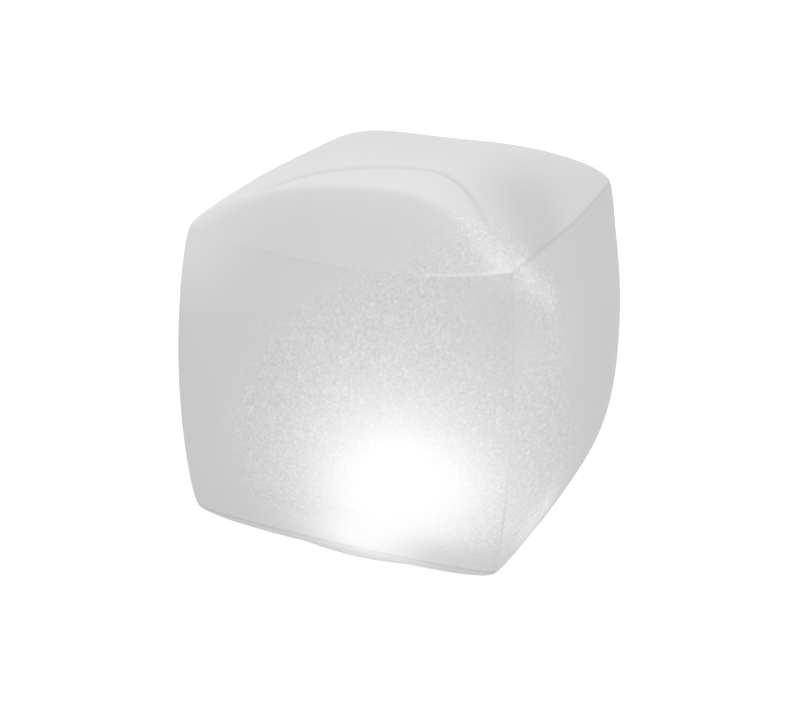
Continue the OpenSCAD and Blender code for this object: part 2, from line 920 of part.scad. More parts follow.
module tact_switch_plunger() {
    color("black")
    translate([button_x, 0, switch_low_z - plunger_out])
    cylinder(r = plunger_r, h = plunger_out + plunger_in);
}

front_panel();
back_panel();
left_panel();
right_panel();
top_panel();
bottom_panel();
valve_flange();
valve_stem();
valve_flap();
valve_plug();
valve_strap();
module_collar();
module_housing();
dome_lens();
lens_seal();
reflector();
led_board();
led_packages();
controller_chip();
chip_resistors();
storage_capacitor();
board_screws();
battery_tray();
battery_cells();
battery_springs();
battery_contacts();
positive_lead();
negative_lead();
battery_door();
door_gasket();
door_screws();
power_button();
button_seal();
button_retainer();
retainer_screws();
tact_switch_body();
tact_switch_plunger();
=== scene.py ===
"""Looks of the floating pool light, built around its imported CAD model. Every length is in metres."""

import json
import math

import bpy
import numpy as np
from mathutils import Matrix, Vector


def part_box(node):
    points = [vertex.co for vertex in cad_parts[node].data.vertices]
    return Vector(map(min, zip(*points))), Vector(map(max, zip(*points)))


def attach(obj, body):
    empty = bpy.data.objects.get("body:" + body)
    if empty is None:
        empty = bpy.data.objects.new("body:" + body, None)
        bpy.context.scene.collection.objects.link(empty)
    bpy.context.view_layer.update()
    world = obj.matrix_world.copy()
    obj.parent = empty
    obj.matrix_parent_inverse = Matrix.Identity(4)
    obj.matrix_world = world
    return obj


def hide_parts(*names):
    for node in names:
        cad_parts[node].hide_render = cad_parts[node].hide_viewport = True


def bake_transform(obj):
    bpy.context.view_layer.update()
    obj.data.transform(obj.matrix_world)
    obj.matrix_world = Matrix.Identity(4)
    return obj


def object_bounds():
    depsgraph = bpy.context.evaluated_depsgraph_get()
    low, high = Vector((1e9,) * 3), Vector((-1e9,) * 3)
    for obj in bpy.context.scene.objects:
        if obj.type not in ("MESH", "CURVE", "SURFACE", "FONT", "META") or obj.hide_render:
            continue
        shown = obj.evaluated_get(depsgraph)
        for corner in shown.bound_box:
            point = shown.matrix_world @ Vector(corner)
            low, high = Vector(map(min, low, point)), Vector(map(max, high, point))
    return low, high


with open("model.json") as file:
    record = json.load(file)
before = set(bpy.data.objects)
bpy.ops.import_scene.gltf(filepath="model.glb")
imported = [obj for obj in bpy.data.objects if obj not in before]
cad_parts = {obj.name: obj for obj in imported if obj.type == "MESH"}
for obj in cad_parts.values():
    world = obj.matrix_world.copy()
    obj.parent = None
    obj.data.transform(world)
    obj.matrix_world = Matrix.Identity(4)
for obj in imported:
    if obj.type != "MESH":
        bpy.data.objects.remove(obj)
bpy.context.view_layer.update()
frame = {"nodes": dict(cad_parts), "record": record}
MM = 0.001

# ---------------------------------------------------------------------------------------------
# The film: the same swollen box as the CAD panels, with its seams, crest and crease drawn finer
# ---------------------------------------------------------------------------------------------

# A face is (axis, side): X, Y, Z as 0, 1, 2, and 1 or -1 for the side of the chamber it is on
RIGHT, LEFT, BACK, FRONT, TOP, BOTTOM = (0, 1), (0, -1), (1, 1), (1, -1), (2, 1), (2, -1)
FACES = {"right_panel": RIGHT, "left_panel": LEFT, "back_panel": BACK, "front_panel": FRONT,
         "top_panel": TOP, "bottom_panel": BOTTOM}

SEAM_HALF = np.array([92.0, 94.25, 85.75]) * MM  # seam corners from the middle of the chamber
FILM_T = 0.3 * MM

# How far a face swells in its middle, how flat it is there, and how full its corners are
BULGE = {RIGHT: 21.7 * MM, LEFT: 21.7 * MM, BACK: 19.4 * MM, FRONT: 19.4 * MM,
         TOP: 38.0 * MM, BOTTOM: 23.0 * MM}
BULGE_POWER = {RIGHT: 2.7, LEFT: 2.7, BACK: 2.7, FRONT: 2.7, TOP: 3.9, BOTTOM: 4.7}
BULGE_FILL = {RIGHT: 0.3, LEFT: 0.3, BACK: 0.3, FRONT: 0.3, TOP: 3.4, BOTTOM: 2.0}
TOP_FILL_LEAN = 1.8  # the top panel is fuller at its right corners
TOP_LEAN = 0.02  # and swells more on its right
LIFT = 3.0 * MM  # the upper right corner at the back is pulled up
LIFT_POWER = 6  # the higher, the closer to that corner

# How far the middle of each seam bows out and drops
UPRIGHT_OUT = 5.5 * MM
FRONT_OUT, FRONT_DROP = 3.7 * MM, 10.6 * MM  # upper front and back seams
SIDE_OUT, SIDE_DROP = -0.5 * MM, 3.7 * MM  # upper left and right seams
LOWER_OUT, LOWER_DROP = 2.4 * MM, 1.3 * MM
SEAM_FADE = 2.0  # the higher, the sooner a seam's pull fades away from it
CORNER_CUT = 1.0 * MM  # how much is rounded off each corner
CORNER_POWER = 14  # the higher, the closer to the corner

# The groove along each seam, and the puckers beside it
GROOVE_DEPTH = 0.10 * MM
GROOVE_WIDTH = 1.0 * MM
PUCKER = 0.10 * MM
PUCKER_START, PUCKER_REACH = 1.0 * MM, 9 * MM
PUCKER_WAVES = np.array([1.9, 2.7, 4.3]) * MM  # three waves of different lengths, each / (2 pi)
PUCKER_SHIFT = 1.7  # between one wave and the next, in radians

# The fold across the front of the top panel: a crest, with a crease behind it. Places and distances
# with no unit are in the panel's own -1 to 1: how far back it bows, and where across it bows most
CREST_BOW, CREST_PEAK = 0.36, 0.12
CREST_POWERS = 0.87, 1.35  # of its arch, left and right of the peak
CREST_HEIGHT = 2.0 * MM
CREST_TAIL = 0.30  # how far behind it the raised film reaches
CREST_ROUND, CREST_ROUND_FROM = 1.0 * MM, 0.1
CREST_START = 0.06  # how far from the seam the fold is complete
SHORTEST_RUN = 0.02
CREASE_BOW, CREASE_PEAK = 0.62, 0.24
CREASE_POWERS = 1.45, 1.6
CREASE_GAP = 0.03  # it stays at least this far behind the crest
CREASE_DEPTH = 1.3 * MM
CREASE_WIDTH = 1.6 * MM

FAR = 1.0  # further than any two points of the film


def other_axes(ax):
    return (1 if ax == 0 else 0), (1 if ax == 2 else 2)


def seam_pull(face, neighbour):
    """How far the middle of the seam between two faces moves."""
    move = np.zeros(3)
    level, wall = sorted([face, neighbour], reverse=True)
    if level[0] != 2:
        move[level[0]] = UPRIGHT_OUT * level[1]
        move[wall[0]] = UPRIGHT_OUT * wall[1]
        return move
    if level[1] < 0:
        out, drop = LOWER_OUT, LOWER_DROP
    else:
        out, drop = (FRONT_OUT, FRONT_DROP) if wall[0] == 1 else (SIDE_OUT, SIDE_DROP)
    move[wall[0]] = out * wall[1]
    move[2] = -drop
    return move


def seam_fade(s, t):
    return ((1 + s) / 2) ** SEAM_FADE * (1 - t * t)


def swollen(face, s, t):
    """Points of a swollen face, where s and t run from -1 to 1 across it."""
    ax, sg = face
    u, v = other_axes(ax)
    p = np.zeros(s.shape + (3,))
    p[..., u] = SEAM_HALF[u] * s
    p[..., v] = SEAM_HALF[v] * t
    p[..., ax] = SEAM_HALF[ax] * sg
    for sign in (1, -1):
        p += seam_fade(sign * s, t)[..., None] * seam_pull(face, (u, sign))
        p += seam_fade(sign * t, s)[..., None] * seam_pull(face, (v, sign))
    power = BULGE_POWER[face]
    fill = BULGE_FILL[face] + (TOP_FILL_LEAN * s if face == TOP else 0)
    a = np.maximum(1 - np.abs(s) ** power, 1e-9)
    b = np.maximum(1 - np.abs(t) ** power, 1e-9)
    swell = BULGE[face] * a * b / (a ** fill + b ** fill - (a * b) ** fill) ** (1 / fill)
    if face == TOP:
        swell *= 1 + TOP_LEAN * s
    cut = CORNER_CUT * np.abs(s * t) ** CORNER_POWER
    p[..., ax] += sg * (swell - cut)
    p[..., u] -= cut * np.sign(s)
    p[..., v] -= cut * np.sign(t)
    p[..., 2] += LIFT * ((1 + s) * (1 + t) * (1 + sg) / 8) ** LIFT_POWER
    return p


def bow(s, peak, left_power, right_power):
    """An arch across the panel: 1 at its peak and 0 at both sides."""
    reach = np.where(s > peak, 1 - peak, 1 + peak)
    arch = np.clip(1 - ((s - peak) / reach) ** 2, 0, 1)
    return arch ** np.where(s > peak, right_power, left_power)


def crest_line(s):
    return -1 + CREST_BOW * bow(s, CREST_PEAK, *CREST_POWERS)


def crease_line(s):
    return np.maximum(-1 + CREASE_BOW * bow(s, CREASE_PEAK, *CREASE_POWERS), crest_line(s) + CREASE_GAP)


def behind(line, s, t):
    """Distance behind a line that runs across the top panel, square to the line."""
    half_u, half_v = SEAM_HALF[0], SEAM_HALF[1]
    step = 0.01
    slope = (line(s + step) - line(s - step)) / (2 * step) * half_v / half_u
    return (t - line(s)) * half_v / np.sqrt(1 + slope * slope)


def top_height(s, t):
    """The top panel's height: stretched flat from the front seam up to the crest, with a crease behind."""
    crest_t = crest_line(s)
    raised = CREST_HEIGHT * bow(s, CREST_PEAK, 0.5, 0.5)
    foot = swollen(TOP, s, -np.ones_like(s))[..., 2]
    crest = swollen(TOP, s, crest_t)[..., 2] + raised
    run = np.maximum(crest_t + 1, SHORTEST_RUN)
    ramp = foot + (crest - foot) / run * (t + 1)
    open_z = swollen(TOP, s, t)[..., 2]
    beyond = open_z + raised * np.exp(-np.maximum(t - crest_t, 0) / CREST_TAIL)
    gap = ramp - beyond
    rounding = CREST_ROUND * np.clip((t + 1) / CREST_ROUND_FROM, 0, 1)
    folded = (ramp + beyond - np.sqrt(gap * gap + rounding * rounding)) / 2
    share = np.clip((crest_t + 1) / CREST_START, 0, 1)
    across_crease = np.exp(-(behind(crease_line, s, t) / CREASE_WIDTH) ** 2)
    crease = CREASE_DEPTH * bow(s, CREASE_PEAK, 1, 1) * across_crease
    return open_z + share * (folded - open_z - crease)


def edge_distance(face, s, t):
    u, v = other_axes(face[0])
    return np.minimum(SEAM_HALF[u] * (1 - np.abs(s)), SEAM_HALF[v] * (1 - np.abs(t)))


def film_marks(face, s, t):
    """What the film's material needs to know at each point: how far it is from the seams and the fold."""
    far = np.full(s.shape, FAR)
    u, v = other_axes(face[0])
    beside, beyond = SEAM_HALF[u] * (1 - np.abs(s)), SEAM_HALF[v] * (1 - np.abs(t))
    lying = face in (TOP, BOTTOM)
    front = far
    if face == TOP:
        front = SEAM_HALF[1] * (1 + t)
    elif face == FRONT:
        front = SEAM_HALF[2] * (1 - t)
    level = np.minimum(beside, beyond) if lying else beyond
    return {
        "upright_weld": far if lying else beside,
        "front_weld": front,
        "level_weld": np.where(front <= level, far, level),
        "crest": behind(crest_line, s, t) if face == TOP else far,
        "crease": behind(crease_line, s, t) if face == TOP else far,
        "across": s,
    }


def film_surface(face, s, t):
    """The outer face of one panel, about the middle of the chamber."""
    p = swollen(face, s, t)
    ax, sg = face
    u, v = other_axes(ax)
    if face == TOP:
        p[..., 2] = top_height(s, t)
    away = edge_distance(face, s, t)
    along = np.where(SEAM_HALF[u] * (1 - np.abs(s)) < SEAM_HALF[v] * (1 - np.abs(t)),
                     p[..., v], p[..., u])
    ripple = sum(np.sin(along / wave + k * PUCKER_SHIFT + ax) for k, wave in enumerate(PUCKER_WAVES))
    reach = np.exp(-away / PUCKER_REACH) * (1 - np.exp(-away / PUCKER_START))
    p[..., ax] += sg * PUCKER * ripple * reach
    inward = GROOVE_DEPTH * np.exp(-(away / GROOVE_WIDTH) ** 2)
    return p * (1 - inward / np.linalg.norm(p, axis=-1))[..., None]


# How finely the panels are divided: rows beside a seam, rows across a panel, and rings round a hole
NEAR_SEAM = np.array([0.0, 0.2, 0.45, 0.75, 1.1, 1.7, 2.6, 4.0]) * MM
PANEL_ROWS, TOP_ROWS, HOLE_RINGS = 72, 150, 44


def steps(half, count=PANEL_ROWS):
    """Places from -1 to 1, closer together beside the seams."""
    inner = 1 - NEAR_SEAM[-1] / half
    middle = np.linspace(-inner, inner, count)[1:-1]
    near = 1 - NEAR_SEAM / half
    return np.concatenate([-near, middle, near[::-1]])


# The middle of the chamber, from the lowest point of the bottom panel
BOTTOM_MIDDLE = float(swollen(BOTTOM, np.zeros(1), np.zeros(1))[0, 2])
CHAMBER = Vector((0, 0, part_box("bottom_panel")[0].z - BOTTOM_MIDDLE))


def sheet_mesh(name, points, marks, wrap, flip):
    """A closed skin of the film's thickness, from rows of outer points."""
    rows, cols = points.shape[:2]
    outer = points.reshape(-1, 3)
    shrink = 1 - FILM_T / SEAM_HALF.mean()
    verts = np.concatenate([outer, outer * shrink]) + np.array(CHAMBER)
    n = rows * cols
    c = np.arange(cols if wrap else cols - 1)
    nxt = (c + 1) % cols
    quads = []
    for r in range(rows - 1):
        a, b = r * cols + c, r * cols + nxt
        quads.append(np.stack([a, b, b + cols, a + cols], -1))
    quads = np.concatenate(quads)
    inner = quads[:, ::-1] + n
    last = (rows - 1) * cols
    ends = [np.stack([nxt, c], -1), np.stack([last + c, last + nxt], -1)]
    if not wrap:
        r = np.arange(rows - 1) * cols
        ends += [np.stack([r, r + cols], -1), np.stack([r + 2 * cols - 1, r + cols - 1], -1)]
    ends = np.concatenate(ends)
    rim = np.stack([ends[:, 0], ends[:, 1], ends[:, 1] + n, ends[:, 0] + n], -1)
    faces = np.concatenate([quads, inner, rim])
    if flip:
        faces = faces[:, ::-1]
    mesh = bpy.data.meshes.new(name)
    mesh.from_pydata(verts.tolist(), [], faces.tolist())
    mesh.polygons.foreach_set("use_smooth", [True] * len(mesh.polygons))
    for key, values in marks.items():
        layer = mesh.attributes.new(key, "FLOAT", "POINT")
        layer.data.foreach_set("value", np.tile(values.ravel(), 2))
    mesh.update()
    return mesh


def add_piece(name, mesh, material):
    obj = bpy.data.objects.new(name, mesh)
    bpy.context.scene.collection.objects.link(obj)
    mesh.materials.append(material)
    return obj


def plain_panel(name, face):
    u, v = other_axes(face[0])
    count = TOP_ROWS if face == TOP else PANEL_ROWS
    s, t = np.meshgrid(steps(SEAM_HALF[u], count), steps(SEAM_HALF[v], count))
    flip = face[1] * (-1 if face[0] == 1 else 1) < 0
    return sheet_mesh(name, film_surface(face, s, t), film_marks(face, s, t), False, flip)


def ease(x):
    """0 at 0 and below, 1 at 1 and above, and smooth between them."""
    x = np.clip(x, 0, 1)
    return x * x * (3 - 2 * x)


def holed_panel(name, face, middle, hole_r, flat_r, blend_r):
    """A panel with a round hole in a flat patch; middle is in the face's own two axes.

    The panel is flat out to flat_r from the hole's middle, and fully swollen from blend_r on.
    """
    ax, sg = face
    u, v = other_axes(ax)
    half = SEAM_HALF[[u, v]]
    su, sv = steps(half[0])[:-1], steps(half[1])[:-1]
    rim = np.concatenate([
        np.stack([su, -np.ones_like(su)], -1), np.stack([np.ones_like(sv), sv], -1),
        np.stack([-su, np.ones_like(su)], -1), np.stack([-np.ones_like(sv), -sv], -1)]) * half
    out = (rim - middle) / np.linalg.norm(rim - middle, axis=1, keepdims=True)
    hole = middle + hole_r * out
    length = np.linalg.norm(rim - hole, axis=1).min()
    near = 1 - NEAR_SEAM[::-1] / length
    share = np.concatenate([np.linspace(0, near[0], HOLE_RINGS)[:-1], near])[:, None, None]
    at = hole * (1 - share) + rim * share
    s, t = at[..., 0] / half[0], at[..., 1] / half[1]
    p = film_surface(face, s, t)
    level = swollen(face, np.array([middle[0] / half[0]]), np.array([middle[1] / half[1]]))[0, ax]
    patch = np.zeros_like(p)
    patch[..., [u, v]] = at
    patch[..., ax] = level
    w = 1 - ease((np.linalg.norm(at - middle, axis=-1, keepdims=True) - flat_r) / (blend_r - flat_r))
    flip = sg * (-1 if ax == 1 else 1) > 0
    return sheet_mesh(name, p * (1 - w) + patch * w, film_marks(face, s, t), True, flip)


# ---------------------------------------------------------------------------------------------
# A helper that builds node materials
# ---------------------------------------------------------------------------------------------


class Shader:
    """A small helper that builds a node material around one Principled surface."""

    def __init__(self, name, **values):
        self.material = bpy.data.materials.new(name)
        self.material.use_nodes = True
        self.tree = self.material.node_tree
        self.surface = self.tree.nodes["Principled BSDF"]
        for key, value in values.items():
            self.surface.inputs[key.replace("_", " ")].default_value = value

    def node(self, kind, inputs=None, **settings):
        n = self.tree.nodes.new(kind)
        for key, value in settings.items():
            setattr(n, key, value)
        for key, value in (inputs or {}).items():
            self.put(value, n.inputs[key])
        return n

    def put(self, value, socket):
        if isinstance(value, bpy.types.NodeSocket):
            self.tree.links.new(value, socket)
        else:
            socket.default_value = value

    def math(self, operation, a, b=0.0):
        return self.node("ShaderNodeMath", {0: a, 1: b}, operation=operation).outputs[0]

    def vector(self, operation, a, b=(0, 0, 0)):
        n = self.node("ShaderNodeVectorMath", {0: a, 1: b}, operation=operation)
        return n.outputs["Value"] if operation in ("DOT_PRODUCT", "LENGTH") else n.outputs[0]

    def place(self):
        """The point itself, in the frame's own metres."""
        return self.node("ShaderNodeTexCoord").outputs["Object"]

    def noise(self, scale, detail=3.0, rough=0.5, vector=None):
        n = self.node("ShaderNodeTexNoise", {"Scale": scale, "Detail": detail, "Roughness": rough})
        self.put(vector or self.place(), n.inputs["Vector"])
        return n.outputs["Fac"]

    def spread(self, value, low, high, to_low, to_high):
        n = self.node("ShaderNodeMapRange", {"Value": value, "From Min": low, "From Max": high,
                                             "To Min": to_low, "To Max": to_high})
        return n.outputs["Result"]

    def times(self, value, *factors):
        for factor in factors:
            value = self.math("MULTIPLY", value, factor)
        return value

    def total(self, value, *others):
        for other in others:
            value = self.math("ADD", value, other)
        return value

    def apart(self, vector):
        outputs = self.node("ShaderNodeSeparateXYZ", {0: vector}).outputs
        return outputs["X"], outputs["Y"], outputs["Z"]

    def off_line(self, position, start, end):
        """Distance from the straight line between two points, its ends included."""
        reach = (end - start).length
        away = self.vector("SUBTRACT", position, tuple(start))
        along = self.vector("DOT_PRODUCT", away, tuple((end - start) / reach))
        held = self.math("MINIMUM", self.math("MAXIMUM", along, 0.0), reach)
        nearest = self.node("ShaderNodeVectorMath", {0: tuple((end - start) / reach)}, operation="SCALE")
        self.put(held, nearest.inputs["Scale"])
        return self.vector("LENGTH", self.vector("SUBTRACT", away, nearest.outputs[0]))

    def smooth(self, value, low, high):
        """0 below low, 1 above high, and eased between them."""
        n = self.node("ShaderNodeMapRange", {"Value": value, "From Min": low, "From Max": high},
                      interpolation_type="SMOOTHSTEP")
        return n.outputs["Result"]

    def eased(self, value, low, high, first, last):
        """`first` below low, `last` above high, and eased between them."""
        return self.spread(self.smooth(value, low, high), 0, 1, first, last)

    def bell(self, value, middle, width):
        """1 in the middle, falling off to both sides over the width."""
        off = self.math("DIVIDE", self.math("SUBTRACT", value, middle), width)
        return self.math("EXPONENT", self.math("MULTIPLY", self.math("MULTIPLY", off, off), -1.0))

    def decay(self, value, reach):
        """1 at 0, falling off over the reach."""
        return self.math("EXPONENT", self.math("DIVIDE", value, -reach))

    def colours(self, value, *stops):
        """A colour that runs through (place, rgb) stops."""
        ramp = self.node("ShaderNodeValToRGB", {"Fac": value})
        points = ramp.color_ramp.elements
        while len(points) < len(stops):
            points.new(0.5)
        for point, (where, rgb) in zip(points, stops):
            point.position = where
            point.color = (*rgb, 1)
        return ramp.outputs["Color"]

    def pick(self, factor, first, second):
        """The first colour where factor is 0, the second where it is 1."""
        n = self.node("ShaderNodeMix", data_type="RGBA")
        for socket, value in zip((n.inputs[0], n.inputs[6], n.inputs[7]), (factor, first, second)):
            self.put(value, socket)
        return n.outputs[2]

    def bump(self, height, strength, distance):
        n = self.node("ShaderNodeBump", {"Height": height, "Strength": strength, "Distance": distance})
        self.put(n.outputs["Normal"], self.surface.inputs["Normal"])

    def clear_from_behind(self):
        """The surface isn't seen from its back, so that the object can be looked at from below."""
        back = self.node("ShaderNodeNewGeometry").outputs["Backfacing"]
        mix = self.node("ShaderNodeMixShader", {0: back, 1: self.surface.outputs[0],
                                                2: self.node("ShaderNodeBsdfTransparent").outputs[0]})
        self.put(mix.outputs[0], self.tree.nodes["Material Output"].inputs["Surface"])

    def set(self, **sockets):
        for key, value in sockets.items():
            self.put(value, self.surface.inputs[key.replace("_", " ")])
        return self.material


# ---------------------------------------------------------------------------------------------
# The film's material: a plain tone with painted shade, and the lamp's and the studio's light drawn into it
# ---------------------------------------------------------------------------------------------


def at_share(x, y, z):
    """A point given as shares of the way from the chamber's middle to its seam corners."""
    return CHAMBER + Vector(SEAM_HALF * np.array([x, y, z]))


# Widths and distances are in metres, a range is (from, to), and ACROSS ranges run from -1 to 1 across a
# panel. Strengths are shares of full white.
FILM_TONE, FILM_ROUGH, FILM_IOR = 0.565, 0.42, 1.45
CLOUD, CLOUD_SCALE = 0.01, 22
RIM_PAINTED_SHADE, RIM_BLEND, RIM_FROM = 0.90, 0.35, 0.3  # painted shade: the film is darker where it turns away from the eye

# The glow: light from the lamp that the frosting scatters forwards, towards the eye
LAMP_Z = 32.7 * MM
GLOW_AT = 0.1  # CORE and HALO hold at this distance from the lamp
GLOW_POWER = 2.74  # how fast it fades with distance
CORE, CORE_SPREAD = 0.65, math.radians(31)
HALO, HALO_SPREAD = 0.73, math.radians(18.7)
GLOW_LIMIT, GLOW_SHOULDER = 0.455, 0.14  # where it burns out, and how gently

# The lamp's housing shades the film that faces downwards
UNDER_SHARE, UNDER_FACING = 0.3, (-0.95, -0.6)

# Low on the panels the glow leans to the left: it spills onto the film there and is dimmer at the right
LEAN_HEIGHT = 55 * MM, 30 * MM
LEAN_LEFT, LEAN_RIGHT = 0.45, -0.50
LEAN_X = 10 * MM, 60 * MM

# Beside the lower right of the front panel it gathers a little. It sits lower on film that faces right
FLARE, FLARE_Z, FLARE_HEIGHT = 0.32, 80 * MM, 28 * MM
FLARE_X = 45 * MM, 85 * MM
FLARE_DROP, FLARE_FACING = 20 * MM, (0.5, 0.85)

# Grain in the frosting, painted as specks of light wherever light comes through it
GRAIN, GRAIN_SCALE = 0.030, 600
GRAIN_GAIN = 8.0  # brings the noise to a spread of about 1
GRAIN_SPIKES, GRAIN_SKEW = 0.07, 0.10  # it has more bright specks than dark ones
GRAIN_LIGHT = 0.014, 0.068  # how much light brings it out
GRAIN_DROWNING, GRAIN_LEFT = (0.12, 0.50), 0.33  # how much drowns it again, and what is left
GRAIN_LOW, GRAIN_LOW_Z = 0.4, (34 * MM, 52 * MM)  # it is weaker near the lower seams
GRAIN_STRETCH = 0.45  # it is drawn out along the left and right panels
GRAIN_BUMP, GRAIN_BUMP_HEIGHT = 0.15, 0.05 * MM

# The painted specks of light are strong around the upper front right corner, and faint just below it
GRAIN_CORNER, GRAIN_CORNER_REACH = 0.05, 42 * MM
CALM, CALM_REACH = 0.75, 15 * MM
CALM_FROM, CALM_TO = at_share(0.88, -1.05, 0.84), at_share(1.03, -0.93, 0.52)

# Light gathered in a streak from the upper front right corner down the right panel
STREAK, STREAK_REACH = 0.055, 12 * MM
STREAK_TAIL, STREAK_TAIL_REACH = 0.080, 9 * MM
STREAK_FROM, STREAK_BEND = at_share(0.99, -0.95, 0.97), at_share(1.02, -0.84, 0.94)
STREAK_TO = at_share(1.10, -0.66, 0.76)

# Soft lights on the right panel: beside the front one, and along its lower front edge
SIDE_LIGHT, SIDE_LIGHT_REACH = 0.032, 38 * MM
SIDE_LIGHT_AT = at_share(1.12, -0.80, 0.55)
LOW_LIGHT, LOW_LIGHT_REACH = 0.125, 15 * MM
LOW_LIGHT_FROM, LOW_LIGHT_TO = at_share(1.13, -0.59, -0.70), at_share(1.09, -0.71, -0.79)

# Light from the studio on the upper front left corner, weaker on top of it
CORNER_LIGHT, CORNER_LIGHT_REACH, CORNER_LIGHT_ON_TOP = 0.10, 30 * MM, 0.35
CORNER_LIGHT_AT = at_share(-0.99, -1.0, 0.90)

# Light that the raised film catches behind its crest. It starts over a wider step at the left
STEP, STEP_LEFT = (-3.0 * MM, 1.5 * MM), (-10 * MM, 6 * MM)
STEP_ACROSS = -1.0, -0.5
PLATEAU, PLATEAU_NEAR, PLATEAU_REACH = 0.07, 0.07, 45 * MM
PLATEAU_FADE, PLATEAU_ACROSS = 0.2, (0.30, 0.75)
TROUGH, TROUGH_AT, TROUGH_WIDTH = 0.10, 50 * MM, 36 * MM

# Light in front of the crest, and along it near its right end
LEAD, LEAD_REACH = 0.075, 14 * MM
RIDGE, RIDGE_AT, RIDGE_WIDTH = 0.075, -0.5 * MM, 4.0 * MM
RIDGE_ACROSS = 0.40, 0.95

# Painted shade along the crease behind the crest: a dark line, fainter at the right
CREASE_DARK, CREASE_DARK_RIGHT, CREASE_LINE = 0.11, 0.02, 1.5 * MM
CREASE_ACROSS = -0.72, -0.5
RIGHT_ACROSS = 0.40, 0.97

# Upper front seam: a painted highlight at the right, faint painted shade at the left but not by the corner
BRIGHT_WELD, BRIGHT_WELD_WIDTH = 0.11, 0.6 * MM
BRIGHT_START, BRIGHT_END = (0.38, 0.58), (0.97, 0.85)
FAINT_WELD, FAINT_CORNER, FAINT_WELD_WIDTH = 0.015, -0.03, 0.8 * MM
FAINT_ACROSS, FAINT_CORNER_ACROSS = (0.15, -0.15), (-0.65, -0.45)

# Painted shade: the upright seams get a dark line only low down, the level ones more of it low down
WELD_DARK, WELD_DARK_Z, WELD_DARK_HEIGHT, WELD_DARK_WIDTH = 0.13, 63 * MM, 15 * MM, 0.7 * MM
LEVEL_DARK, LEVEL_DARK_LOW, LEVEL_DARK_WIDTH = 0.07, 0.14, 1.0 * MM
LEVEL_DARK_Z = 60 * MM, 40 * MM


